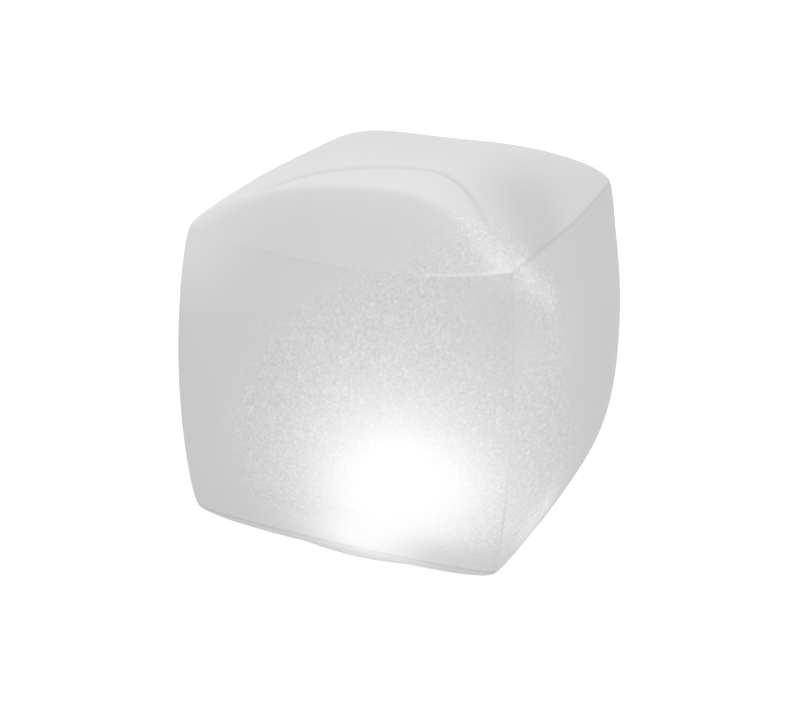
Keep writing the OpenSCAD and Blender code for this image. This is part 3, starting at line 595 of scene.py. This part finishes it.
class Film(Shader):
    """The parts of the film's look. Each method gives an amount of light or of dark."""

    def __init__(self):
        super().__init__("frosted_film", Roughness=FILM_ROUGH, IOR=FILM_IOR)
        geometry = self.node("ShaderNodeNewGeometry")
        self.position, self.incoming = geometry.outputs["Position"], geometry.outputs["Incoming"]
        self.x, _, self.z = self.apart(self.position)
        self.facing_x, _, self.facing_z = self.apart(geometry.outputs["Normal"])
        self.across, self.crest = self.mark("across"), self.mark("crest")
        self.on_top = self.math("LESS_THAN", self.crest, FAR / 2)

    def mark(self, name):
        """One of the film's own marks, from film_marks."""
        return self.node("ShaderNodeAttribute", attribute_name=name).outputs["Fac"]

    def close_to(self, point, reach):
        away = self.vector("LENGTH", self.vector("SUBTRACT", self.position, point))
        return self.bell(away, 0.0, reach)

    def close_to_line(self, start, end, reach):
        return self.bell(self.off_line(self.position, start, end), 0.0, reach)

    def even_glow(self):
        """A core and a halo about the lamp, as seen from the camera."""
        to_lamp = self.vector("SUBTRACT", (0, 0, LAMP_Z), self.position)
        fall = self.math("POWER", self.math("DIVIDE", GLOW_AT, self.vector("LENGTH", to_lamp)), GLOW_POWER)
        towards_eye = self.vector("DOT_PRODUCT", self.vector("NORMALIZE", to_lamp), self.incoming)
        ahead = self.math("MULTIPLY", towards_eye, -1.0)
        angle = self.math("ARCCOSINE", self.math("MINIMUM", self.math("MAXIMUM", ahead, -1.0), 1.0))
        core = self.times(self.bell(angle, 0.0, CORE_SPREAD), CORE)
        halo = self.times(self.decay(angle, HALO_SPREAD), HALO)
        under = self.spread(self.facing_z, *UNDER_FACING, UNDER_SHARE, 1.0)
        return self.times(self.total(core, halo), fall, under)

    def lean(self):
        leaning = self.spread(self.x, *LEAN_X, LEAN_LEFT, LEAN_RIGHT)
        return self.times(leaning, self.smooth(self.z, *LEAN_HEIGHT))

    def flare(self):
        drop = self.times(self.smooth(self.facing_x, *FLARE_FACING), FLARE_DROP)
        height = self.bell(self.total(self.z, drop), FLARE_Z, FLARE_HEIGHT)
        return self.times(height, self.smooth(self.x, *FLARE_X), FLARE)

    def fold(self):
        """On the raised film behind the crest, and on the stretched film in front of it."""
        left = self.smooth(self.across, *STEP_ACROSS)
        step = [self.spread(left, 0, 1, at_left, further) for at_left, further in zip(STEP_LEFT, STEP)]
        beyond = self.smooth(self.crest, *step)
        near = self.times(self.decay(self.math("MAXIMUM", self.crest, 0.0), PLATEAU_REACH), PLATEAU_NEAR,
                          self.eased(self.across, *PLATEAU_ACROSS, 1.0, PLATEAU_FADE))
        trough = self.times(self.bell(self.crest, TROUGH_AT, TROUGH_WIDTH),
                            self.smooth(self.across, *RIGHT_ACROSS), TROUGH)
        plateau = self.times(self.math("SUBTRACT", self.total(near, PLATEAU), trough), beyond)
        in_front = self.math("MAXIMUM", self.math("MULTIPLY", self.crest, -1.0), 0.0)
        lead = self.times(self.decay(in_front, LEAD_REACH), self.math("SUBTRACT", 1.0, beyond), LEAD)
        return self.times(self.total(plateau, lead), self.on_top)

    def ridge(self):
        along = self.smooth(self.across, *RIDGE_ACROSS)
        return self.times(self.bell(self.crest, RIDGE_AT, RIDGE_WIDTH), along, RIDGE, self.on_top)

    def streak(self):
        head = self.close_to_line(STREAK_FROM, STREAK_BEND, STREAK_REACH)
        tail = self.close_to_line(STREAK_BEND, STREAK_TO, STREAK_TAIL_REACH)
        return self.total(self.times(head, STREAK), self.times(tail, STREAK_TAIL))

    def soft_lights(self):
        weaker = self.spread(self.on_top, 0, 1, 1.0, CORNER_LIGHT_ON_TOP)
        corner = self.times(self.close_to(CORNER_LIGHT_AT, CORNER_LIGHT_REACH), weaker, CORNER_LIGHT)
        side = self.times(self.close_to(SIDE_LIGHT_AT, SIDE_LIGHT_REACH), SIDE_LIGHT)
        low = self.times(self.close_to_line(LOW_LIGHT_FROM, LOW_LIGHT_TO, LOW_LIGHT_REACH), LOW_LIGHT)
        on_right = self.math("GREATER_THAN", self.facing_x, 0.5)
        return self.total(corner, self.times(self.total(side, low), on_right))

    # Painted highlight along the upper front seam
    def bright_weld(self):
        line = self.bell(self.mark("front_weld"), 0.0, BRIGHT_WELD_WIDTH)
        ends = self.times(self.smooth(self.across, *BRIGHT_START), self.smooth(self.across, *BRIGHT_END))
        return self.times(line, ends, BRIGHT_WELD)

    def speck(self):
        """Noise with more bright specks than dark ones, drawn out where the panel faces sideways."""
        sideways = self.math("GREATER_THAN", self.math("ABSOLUTE", self.facing_x), 0.7)
        stretch = self.node("ShaderNodeCombineXYZ",
                            {0: 1.0, 1: self.spread(sideways, 0, 1, 1.0, GRAIN_STRETCH), 2: 1.0})
        drawn_out = self.vector("MULTIPLY", self.place(), stretch.outputs[0])
        noise = self.noise(GRAIN_SCALE, 1.0, 0.5, drawn_out)
        even = self.times(self.math("SUBTRACT", noise, 0.5), GRAIN_GAIN)
        squared = self.times(even, even)
        spikes = self.times(even, squared, GRAIN_SPIKES)
        return self.total(even, spikes, self.times(self.math("SUBTRACT", squared, 1.0), GRAIN_SKEW))

    def grain(self, lit, glow):
        """Specks that light brings out and strong glow drowns."""
        drowned = self.eased(glow, *GRAIN_DROWNING, 1.0, GRAIN_LEFT)
        calm = self.times(self.close_to_line(CALM_FROM, CALM_TO, CALM_REACH), CALM)
        low = self.eased(self.z, *GRAIN_LOW_Z, GRAIN_LOW, 1.0)
        shows = self.times(self.smooth(lit, *GRAIN_LIGHT), drowned, self.math("SUBTRACT", 1.0, calm), low)
        return self.times(self.speck(), shows, GRAIN)

    def painted_shade_lines(self):
        """Painted shade along the welds and the crease."""
        upright = self.times(self.bell(self.mark("upright_weld"), 0.0, WELD_DARK_WIDTH),
                             self.bell(self.z, WELD_DARK_Z, WELD_DARK_HEIGHT), WELD_DARK)
        level = self.times(self.bell(self.mark("level_weld"), 0.0, LEVEL_DARK_WIDTH),
                           self.eased(self.z, *LEVEL_DARK_Z, LEVEL_DARK, LEVEL_DARK_LOW))
        faint = self.times(self.bell(self.mark("front_weld"), 0.0, FAINT_WELD_WIDTH),
                           self.smooth(self.across, *FAINT_ACROSS),
                           self.eased(self.across, *FAINT_CORNER_ACROSS, FAINT_CORNER, FAINT_WELD))
        crease = self.times(self.bell(self.mark("crease"), 0.0, CREASE_LINE), self.on_top,
                            self.eased(self.across, *RIGHT_ACROSS, CREASE_DARK, CREASE_DARK_RIGHT),
                            self.smooth(self.across, *CREASE_ACROSS))
        return self.total(upright, level, faint, crease)

    def tone_with_painted_shade(self):
        """The film without light of its own: slightly cloudy, with painted shade at the rim and along its
        lines.
        """
        cloud = self.spread(self.noise(CLOUD_SCALE, 3.0), 0.3, 0.7, 1 - CLOUD, 1 + CLOUD)
        facing = self.node("ShaderNodeLayerWeight", {"Blend": RIM_BLEND}).outputs["Facing"]
        rim = self.spread(facing, RIM_FROM, 1.0, 1.0, RIM_PAINTED_SHADE)
        return self.times(cloud, rim, self.math("SUBTRACT", 1.0, self.painted_shade_lines()), FILM_TONE)


def film_material():
    m = Film()
    even_glow, ridge, streak = m.even_glow(), m.ridge(), m.streak()
    glow = m.times(even_glow, m.total(1.0, m.lean(), m.flare()))
    corner = m.times(m.close_to(STREAK_FROM, GRAIN_CORNER_REACH), GRAIN_CORNER)
    lit = m.total(m.math("MINIMUM", glow, even_glow), streak, ridge, corner)
    held = m.node("ShaderNodeMath", {0: glow, 1: GLOW_LIMIT, 2: GLOW_SHOULDER}, operation="SMOOTH_MIN")
    light = m.total(held.outputs[0], m.fold(), ridge, streak, m.soft_lights(), m.bright_weld(),
                    m.grain(lit, glow))
    tone = m.tone_with_painted_shade()
    colour = m.node("ShaderNodeCombineColor", {0: tone, 1: tone, 2: tone}).outputs[0]
    m.bump(m.noise(GRAIN_SCALE, 2.0, 0.6), GRAIN_BUMP, GRAIN_BUMP_HEIGHT)
    return m.set(Base_Color=colour, Emission_Color=(1, 1, 1, 1),
                 Emission_Strength=m.math("MAXIMUM", light, 0.0))


# ---------------------------------------------------------------------------------------------
# The other materials
# ---------------------------------------------------------------------------------------------


def shade(rgb, share):
    return tuple(min(1.0, share * c) for c in rgb)


def moulded(name, rgb, rough, texture=0.02 * MM, **values):
    """Moulded plastic or rubber: a fine spark texture, slight cloudiness, and rub marks in its gloss."""
    m = Shader(name, **values)
    colour = m.colours(m.noise(60, 4.0), (0.3, shade(rgb, 0.93)), (0.7, shade(rgb, 1.04)))
    gloss = m.spread(m.noise(240, 3.0), 0.3, 0.7, rough * 0.88, min(1.0, rough * 1.12))
    rubbed = m.noise(500, 2.0, 0.7, m.vector("MULTIPLY", m.place(), (0.12, 1.0, 0.4)))
    m.bump(m.noise(1800, 2.0), 0.3, texture)
    return m.set(Base_Color=colour, Roughness=m.total(gloss, m.spread(rubbed, 0.6, 0.75, 0.0, 0.15)))


def metal(name, rgb, rough, thread=0.0):
    """Plated metal with a fine unevenness, and a thread of the given pitch along Z if it is a screw's."""
    m = Shader(name, Metallic=1.0)
    uneven = m.noise(900, 4.0, 0.6)
    colour = m.colours(uneven, (0.25, shade(rgb, 0.8)), (0.75, rgb))
    if thread:
        z = m.apart(m.place())[2]
        turn = m.spread(m.math("SINE", m.math("MULTIPLY", z, 2 * math.pi / thread)), -1, 1, 0, 1)
        m.bump(turn, 0.8, 0.15 * MM)
        # Painted shade in the thread's grooves, where its bump is low
        colour = m.pick(turn, (*shade(rgb, 0.45), 1), colour)
    else:
        m.bump(uneven, 0.15, 0.01 * MM)
    return m.set(Base_Color=colour, Roughness=m.spread(uneven, 0.3, 0.7, rough * 0.8, rough * 1.25))


DOME_GLOW, DOME_GLOW_EDGE, DOME_GLOW_REACH = 1.2, 0.15, 26 * MM


def frosted_lens():
    """The dome: white and translucent, lit from the lamps below its middle."""
    m = Shader("frosted_lens", Roughness=0.45, Subsurface_Weight=0.3, Subsurface_Scale=0.004)
    x, y, _ = m.apart(m.place())
    off_axis = m.math("SQRT", m.math("ADD", m.times(x, x), m.times(y, y)))
    colour = m.colours(m.noise(80, 3.0), (0.3, (0.84, 0.85, 0.86)), (0.7, (0.88, 0.89, 0.90)))
    m.bump(m.noise(2200, 2.0), 0.3, 0.02 * MM)
    glow = m.spread(m.bell(off_axis, 0.0, DOME_GLOW_REACH), 0, 1, DOME_GLOW_EDGE, DOME_GLOW)
    return m.set(Base_Color=colour, Emission_Color=(1.0, 0.99, 0.97, 1), Emission_Strength=glow)


def solder_mask():
    """A lamp board: green lacquer over a grid of copper tracks."""
    m = Shader("board", Roughness=0.3, Coat_Weight=0.4)
    tracks = m.node("ShaderNodeTexBrick", {"Scale": 420.0, "Mortar Size": 0.03, "Mortar Smooth": 0.4})
    m.put(m.place(), tracks.inputs["Vector"])
    ground = m.colours(m.noise(90, 3.0), (0.3, (0.012, 0.10, 0.045)), (0.7, (0.016, 0.13, 0.055)))
    m.bump(tracks.outputs["Fac"], 0.4, 0.03 * MM)
    return m.set(Base_Color=m.pick(tracks.outputs["Fac"], ground, (0.05, 0.24, 0.10, 1)))


LAMP_WINDOW_DEPTH = 0.1 * MM


def lamp_package():
    """A white lamp package with a lit window of yellow resin in its top."""
    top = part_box("led_packages")[1].z
    m = Shader("led", Roughness=0.35)
    geometry = m.node("ShaderNodeNewGeometry")
    z = m.apart(geometry.outputs["Position"])[2]
    upward = m.math("GREATER_THAN", m.apart(geometry.outputs["Normal"])[2], 0.9)
    window = m.times(m.math("LESS_THAN", z, top - LAMP_WINDOW_DEPTH), upward)
    resin = m.colours(m.noise(1500, 2.0), (0.3, (0.80, 0.58, 0.14)), (0.7, (0.90, 0.70, 0.22)))
    body = m.colours(m.noise(900, 2.0), (0.3, (0.80, 0.80, 0.77)), (0.7, (0.86, 0.86, 0.83)))
    return m.set(Base_Color=m.pick(window, body, resin), Emission_Color=(1.0, 0.93, 0.75, 1),
                 Emission_Strength=m.times(window, 5.0))


def tinned(name, middle_y, half):
    """A black package whose legs or ends, further than half from its middle along Y, are tinned."""
    m = Shader(name)
    y = m.apart(m.place())[1]
    legs = m.math("GREATER_THAN", m.math("ABSOLUTE", m.math("SUBTRACT", y, middle_y)), half)
    resin = m.colours(m.noise(2500, 2.0), (0.3, (0.012, 0.012, 0.014)), (0.7, (0.022, 0.022, 0.024)))
    tin = m.colours(m.noise(2000, 2.0), (0.3, (0.55, 0.55, 0.55)), (0.7, (0.72, 0.72, 0.71)))
    rough = m.spread(legs, 0, 1, 0.55, 0.3)
    return m.set(Base_Color=m.pick(legs, resin, tin), Metallic=legs, Roughness=rough)


# The height of the can's base, the depth of its end's marking, and the patch's edge from the middle
CAN_BASE, CAN_END, CAN_PATCH = 0.75 * MM, 0.05 * MM, 1 * MM


def drawn_can():
    """An aluminium can on a black base, with a black patch on one side of its flat end."""
    low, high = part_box("storage_capacitor")
    m = Shader("can", Roughness=0.3)
    x, _, z = m.apart(m.place())
    base = m.math("GREATER_THAN", z, high.z - CAN_BASE)
    flat_end = m.math("LESS_THAN", z, low.z + CAN_END)
    one_side = m.math("GREATER_THAN", x, (low.x + high.x) / 2 + CAN_PATCH)
    dark = m.math("MAXIMUM", base, m.times(flat_end, one_side))
    lines = m.noise(900, 3.0, 0.6, m.vector("MULTIPLY", m.place(), (1, 1, 12)))
    skin = m.colours(lines, (0.25, (0.62, 0.62, 0.64)), (0.75, (0.80, 0.80, 0.82)))
    return m.set(Base_Color=m.pick(dark, skin, (0.015, 0.015, 0.017, 1)),
                 Metallic=m.math("SUBTRACT", 1.0, dark))


# Battery cells lie along Y: where the sleeve of an unturned one ends, its flat end, and the sleeve's marks
CELL_TOP, CELL_FOOT = 21.75 * MM, -20.75 * MM
CELL_FOOT_END = -21.2 * MM
CELL_BAND = 11.9 * MM, 12.1 * MM
CELL_LINE, CELL_LINE_WIDTH = 11.0 * MM, 0.5 * MM


def cell_sleeve():
    """A cell's sleeve: dark, with a pale line and a copper band at the positive end, and bare metal ends."""
    low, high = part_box("battery_cells")
    cell_d = high.z - low.z
    m = Shader("cell_wrap", Roughness=0.25, Coat_Weight=0.3)
    x, y, _ = m.apart(m.place())
    turned = m.math("LESS_THAN", m.math("ABSOLUTE", x), cell_d / 2)
    along = m.math("MULTIPLY", y, m.spread(turned, 0, 1, 1.0, -1.0))
    band = m.smooth(along, *CELL_BAND)
    line = m.bell(along, CELL_LINE, CELL_LINE_WIDTH)
    bare = m.math("MAXIMUM", m.math("GREATER_THAN", along, CELL_TOP), m.math("LESS_THAN", along, CELL_FOOT))
    # Painted sheen: lighter and darker streaks along the cells, on the sleeve, the band and the bare ends
    sheen = m.noise(300, 3.0, 0.5, m.vector("MULTIPLY", m.place(), (1, 0.2, 1)))
    sleeve = m.colours(sheen, (0.3, (0.020, 0.032, 0.060)), (0.7, (0.030, 0.045, 0.080)))
    copper = m.colours(sheen, (0.3, (0.50, 0.20, 0.08)), (0.7, (0.62, 0.27, 0.11)))
    steel = m.colours(sheen, (0.3, (0.58, 0.58, 0.57)), (0.7, (0.72, 0.71, 0.69)))
    colour = m.pick(line, m.pick(band, sleeve, copper), (0.75, 0.75, 0.73, 1))
    shine = m.math("MAXIMUM", bare, m.times(band, 0.85))
    return m.set(Base_Color=m.pick(bare, colour, steel), Metallic=shine)


# ---------------------------------------------------------------------------------------------
# The film panels, and the looks of the CAD nodes
# ---------------------------------------------------------------------------------------------

# How far a panel laps onto what sits in its hole, how far out it is flat, and where it is fully swollen
VALVE_LAP, VALVE_FLAT_R, VALVE_BLEND_R = 4.2 * MM, 15 * MM, 36 * MM
COLLAR_LAP, COLLAR_FLAT_R, COLLAR_BLEND_R = 11 * MM, 62 * MM, 84 * MM


def build_film():
    film = film_material()
    for node, face in FACES.items():
        name = "film_" + node
        if node == "back_panel":
            low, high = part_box("valve_flange")
            middle = np.array([(low.x + high.x) / 2, (low.z + high.z) / 2 - CHAMBER.z])
            hole_r = (high.x - low.x) / 2 - VALVE_LAP
            mesh = holed_panel(name, face, middle, hole_r, VALVE_FLAT_R, VALVE_BLEND_R)
        elif node == "bottom_panel":
            low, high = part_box("module_collar")
            hole_r = (high.x - low.x) / 2 - COLLAR_LAP
            mesh = holed_panel(name, face, np.zeros(2), hole_r, COLLAR_FLAT_R, COLLAR_BLEND_R)
        else:
            mesh = plain_panel(name, face)
        panel = add_piece(name, mesh, film)
        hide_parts(node)
        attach(panel, "root")


build_film()

MATERIALS = {
    "soft_vinyl": moulded("soft_vinyl", (0.78, 0.80, 0.82), 0.30, 0.01 * MM, Subsurface_Weight=0.25,
                          Subsurface_Scale=0.002, Coat_Weight=0.25),
    "white_abs": moulded("white_abs", (0.78, 0.78, 0.77), 0.42),
    "frosted_lens": frosted_lens(),
    "reflector_white": moulded("reflector_white", (0.88, 0.88, 0.88), 0.2, 0.005 * MM, Coat_Weight=0.5),
    "seal_rubber": moulded("seal_rubber", (0.035, 0.035, 0.037), 0.7),
    "button_rubber": moulded("button_rubber", (0.36, 0.38, 0.41), 0.6, 0.03 * MM),
    "board": solder_mask(),
    "led": lamp_package(),
    "black_resin": moulded("black_resin", (0.015, 0.015, 0.017), 0.5),
    "nickel": metal("nickel", (0.72, 0.71, 0.69), 0.25),
    "screw_steel": metal("screw_steel", (0.62, 0.63, 0.65), 0.3, thread=0.5 * MM),
    "can": drawn_can(),
    "cell_wrap": cell_sleeve(),
    "lead_red": moulded("lead_red", (0.45, 0.02, 0.015), 0.35),
    "lead_black": moulded("lead_black", (0.015, 0.015, 0.017), 0.35),
}
# Half of what isn't tinned of the chip and of a resistor
CHIP_HALF, RESISTOR_HALF = 2.02 * MM, 0.65 * MM
chip_low, chip_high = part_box("controller_chip")
resistor_low, resistor_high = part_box("chip_resistors")
NODE_MATERIALS = {
    "controller_chip": tinned("chip", (chip_low.y + chip_high.y) / 2, CHIP_HALF),
    "chip_resistors": tinned("resistor", (resistor_low.y + resistor_high.y) / 2, RESISTOR_HALF),
}
# Moulded nodes get small rounds on their sharp edges, in millimetres
ROUNDED = {
    "module_housing": 0.35, "battery_door": 0.15, "module_collar": 0.4, "battery_tray": 0.25,
    "valve_flange": 0.25, "valve_stem": 0.25, "valve_plug": 0.25, "dome_lens": 0.3,
    "power_button": 0.25, "button_retainer": 0.2, "tact_switch_body": 0.15,
    "battery_contacts": 0.08, "storage_capacitor": 0.1,
}
SHARPEST = math.radians(40)  # an edge that turns by more than this gets a round


def dress(node, slot):
    """Gives a CAD node its material and its rounds."""
    obj = frame["nodes"][node]
    if slot in MATERIALS:
        obj.data.materials.clear()
        obj.data.materials.append(NODE_MATERIALS.get(node, MATERIALS[slot]))
    if node in ROUNDED:
        rounding = obj.modifiers.new("rounding", "BEVEL")
        rounding.width = ROUNDED[node] * MM
        rounding.segments = 2
        rounding.limit_method = "ANGLE"
        rounding.angle_limit = SHARPEST
        rounding.use_clamp_overlap = True


for part in frame["record"]["subparts"]:
    dress(part["node"], part["material_slot"])

# ---------------------------------------------------------------------------------------------
# Contact springs and the plug's strap
# ---------------------------------------------------------------------------------------------

SPRING_WIRE_R, SPRING_TIP_R, SPRING_TURNS = 0.3 * MM, 2.0 * MM, 2.5
# The strap meets the plug's cap this far below its top, and runs this far under the rim
STRAP_BELOW_CAP, STRAP_INTO_CAP = 0.8 * MM, 0.5 * MM


def swept_mesh(name, path, across, section):
    """A closed tube: a section, given along `across` and square to it, carried along a path."""
    ahead = np.gradient(path, axis=0)
    ahead /= np.linalg.norm(ahead, axis=1, keepdims=True)
    square = np.cross(ahead, across)
    square /= np.linalg.norm(square, axis=1, keepdims=True)
    rings = path[:, None] + section[None, :, :1] * across[:, None] + section[None, :, 1:] * square[:, None]
    count, sides = rings.shape[:2]
    k = np.arange(sides)
    faces = []
    for r in range(count - 1):
        a, b = r * sides + k, r * sides + (k + 1) % sides
        faces += np.stack([a, b, b + sides, a + sides], -1).tolist()
    faces += [k[::-1].tolist(), (k + (count - 1) * sides).tolist()]
    mesh = bpy.data.meshes.new(name)
    mesh.from_pydata(rings.reshape(-1, 3).tolist(), [], faces)
    mesh.polygons.foreach_set("use_smooth", [True] * len(mesh.polygons))
    mesh.update()
    return mesh


def round_section(radius, sides=14):
    angle = np.linspace(0, 2 * np.pi, sides, endpoint=False)
    return radius * np.stack([np.cos(angle), np.sin(angle)], -1)


def strip_section(wide, thick, corner=0.2 * MM):
    """A rectangle with rounded corners, as a closed ring of points."""
    points = []
    for x, y, start in ((1, 1, 0), (-1, 1, 90), (-1, -1, 180), (1, -1, 270)):
        for turn in np.radians(np.linspace(start, start + 90, 4)):
            points.append((x * (wide / 2 - corner) + corner * math.cos(turn),
                           y * (thick / 2 - corner) + corner * math.sin(turn)))
    return np.array(points)


def build_springs():
    """Three conical springs, one at each cell's flat end, wound closer at their ends."""
    low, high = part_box("battery_springs")
    cell_low, cell_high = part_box("battery_cells")
    axis_z = (cell_low.z + cell_high.z) / 2
    pitch = (cell_high.x - cell_low.x - (cell_high.z - cell_low.z)) / 2
    f = np.linspace(0, 1, 150)
    angle = 2 * np.pi * SPRING_TURNS * f
    radius = SPRING_TIP_R + (high.z - axis_z - SPRING_WIRE_R - SPRING_TIP_R) * f
    foot, seat = -CELL_FOOT_END + SPRING_WIRE_R, high.y - SPRING_WIRE_R
    out = foot + (seat - foot) * (0.6 * f + 0.4 * ease(f))
    for i, side in ((-1, -1), (0, 1), (1, -1)):
        x, z = radius * np.cos(angle), radius * np.sin(angle)
        path = np.stack([x + i * pitch, side * out, z + axis_z], -1)
        across = np.stack([np.cos(angle), np.zeros_like(angle), np.sin(angle)], -1)
        mesh = swept_mesh(f"spring_{i + 2}", path, across, round_section(SPRING_WIRE_R))
        piece = add_piece(f"contact_spring_{i + 2}", mesh, MATERIALS["nickel"])
        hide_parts("battery_springs")
        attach(piece, "root")


def build_strap():
    """The strip between stem and plug: out from the rim, round its hinge and back to the plug's cap."""
    low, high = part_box("valve_strap")
    plug_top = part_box("valve_plug")[1].y
    wide = high.z - low.z
    thick = high.y - low.y
    y0 = (low.y + high.y) / 2
    y1 = plug_top - STRAP_BELOW_CAP
    bend_r = (y1 - y0) / 2
    turn = np.linspace(-np.pi / 2, np.pi / 2, 24)
    middle = np.array([low.x + bend_r, (y0 + y1) / 2])
    arc = middle + bend_r * np.stack([-np.cos(turn), np.sin(turn)], -1)
    lower = np.stack([np.linspace(high.x, middle[0], 9)[:-1], np.full(8, y0)], -1)
    upper = np.stack([np.linspace(middle[0], high.x + STRAP_INTO_CAP, 9)[1:], np.full(8, y1)], -1)
    flat = np.concatenate([lower, arc, upper])
    path = np.stack([flat[:, 0], flat[:, 1], np.full(len(flat), (low.z + high.z) / 2)], -1)
    across = np.tile([0.0, 0.0, 1.0], (len(flat), 1))
    strap = add_piece("plug_strap", swept_mesh("plug_strap", path, across, strip_section(wide, thick)),
                      MATERIALS["soft_vinyl"])
    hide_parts("valve_strap")
    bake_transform(strap)


build_springs()
build_strap()

# ---------------------------------------------------------------------------------------------
# Floor, light and camera
# ---------------------------------------------------------------------------------------------

FLOOR_HALF = 6.0
FLOOR_GAP = 0.1 * MM
FLOOR_GLOW, FLOOR_GLOW_SEEN = 0.70, 0.86  # the floor's own light, on the object and to the eye


def build_stage():
    mesh = bpy.data.meshes.new("floor")
    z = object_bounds()[0][2] - FLOOR_GAP
    corners = [(-FLOOR_HALF, -FLOOR_HALF, z), (FLOOR_HALF, -FLOOR_HALF, z),
               (FLOOR_HALF, FLOOR_HALF, z), (-FLOOR_HALF, FLOOR_HALF, z)]
    mesh.from_pydata(corners, [], [(0, 1, 2, 3)])
    m = Shader("floor", Roughness=0.9)
    tone = m.colours(m.noise(3, 2.0), (0.3, (0.20, 0.20, 0.20)), (0.7, (0.21, 0.21, 0.21)))
    seen = m.node("ShaderNodeLightPath").outputs["Is Camera Ray"]
    m.set(Base_Color=tone, Emission_Color=(1, 1, 1, 1),
          Emission_Strength=m.spread(seen, 0, 1, FLOOR_GLOW, FLOOR_GLOW_SEEN))
    m.clear_from_behind()
    add_piece("floor", mesh, m.material)


def area_light(name, position, target, size, power):
    data = bpy.data.lights.new(name, "AREA")
    data.size = size
    data.energy = power
    light = bpy.data.objects.new(name, data)
    light.location = position
    light.rotation_euler = (Vector(target) - Vector(position)).to_track_quat("-Z", "Y").to_euler()
    bpy.context.scene.collection.objects.link(light)


SKY_LOW, SKY_HIGH = 0.96, 1.06
SKY_SIDE = 0.05  # how much weaker the light is from the right
OVERHEAD_AT, OVERHEAD_SIZE, OVERHEAD_POWER = (0.1, 0.3, 1.8), 1.4, 2


def build_lights():
    world = bpy.data.worlds.new("studio")
    bpy.context.scene.world = world
    world.use_nodes = True
    tree = world.node_tree
    background = tree.nodes["Background"]
    background.inputs["Color"].default_value = (1, 1, 1, 1)
    apart = tree.nodes.new("ShaderNodeSeparateXYZ")
    tree.links.new(tree.nodes.new("ShaderNodeTexCoord").outputs["Generated"], apart.inputs[0])
    rise = tree.nodes.new("ShaderNodeMapRange")
    for key, value in (("From Min", 0.0), ("From Max", 1.0), ("To Min", SKY_LOW), ("To Max", SKY_HIGH)):
        rise.inputs[key].default_value = value
    tree.links.new(apart.outputs["Z"], rise.inputs["Value"])
    side = tree.nodes.new("ShaderNodeMath")
    side.operation = "MULTIPLY_ADD"
    side.inputs[1].default_value = -SKY_SIDE
    tree.links.new(apart.outputs["X"], side.inputs[0])
    tree.links.new(rise.outputs["Result"], side.inputs[2])
    tree.links.new(side.outputs[0], background.inputs["Strength"])
    area_light("overhead", OVERHEAD_AT, CHAMBER, OVERHEAD_SIZE, OVERHEAD_POWER)


# The camera looks at the chamber's middle from the front right and above
VIEW_AZIMUTH = math.radians(21.72)
VIEW_ELEVATION = math.radians(21.28)
VIEW_ROLL = math.radians(1.58)
VIEW_DISTANCE = 0.8683
VIEW_LENS, VIEW_SENSOR = 65.9, 36  # in millimetres, as Blender's cameras have them
VIEW_SHIFT = (-0.0105, -0.0168)


def build_camera():
    data = bpy.data.cameras.new("camera")
    data.lens = VIEW_LENS
    data.sensor_width = VIEW_SENSOR
    data.shift_x, data.shift_y = VIEW_SHIFT
    camera = bpy.data.objects.new("camera", data)
    back = Vector((math.sin(VIEW_AZIMUTH) * math.cos(VIEW_ELEVATION),
                   -math.cos(VIEW_AZIMUTH) * math.cos(VIEW_ELEVATION), math.sin(VIEW_ELEVATION)))
    right = back.cross(Vector((0, 0, 1))).normalized() * -1
    up = back.cross(right)
    turned_right = right * math.cos(VIEW_ROLL) + up * math.sin(VIEW_ROLL)
    turned_up = up * math.cos(VIEW_ROLL) - right * math.sin(VIEW_ROLL)
    camera.matrix_world = (Matrix.Translation(CHAMBER + back * VIEW_DISTANCE)
                           @ Matrix((turned_right, turned_up, back)).transposed().to_4x4())
    bpy.context.scene.collection.objects.link(camera)
    bpy.context.scene.camera = camera


build_stage()
build_lights()
build_camera()
bpy.context.scene.view_settings.view_transform = "Standard"
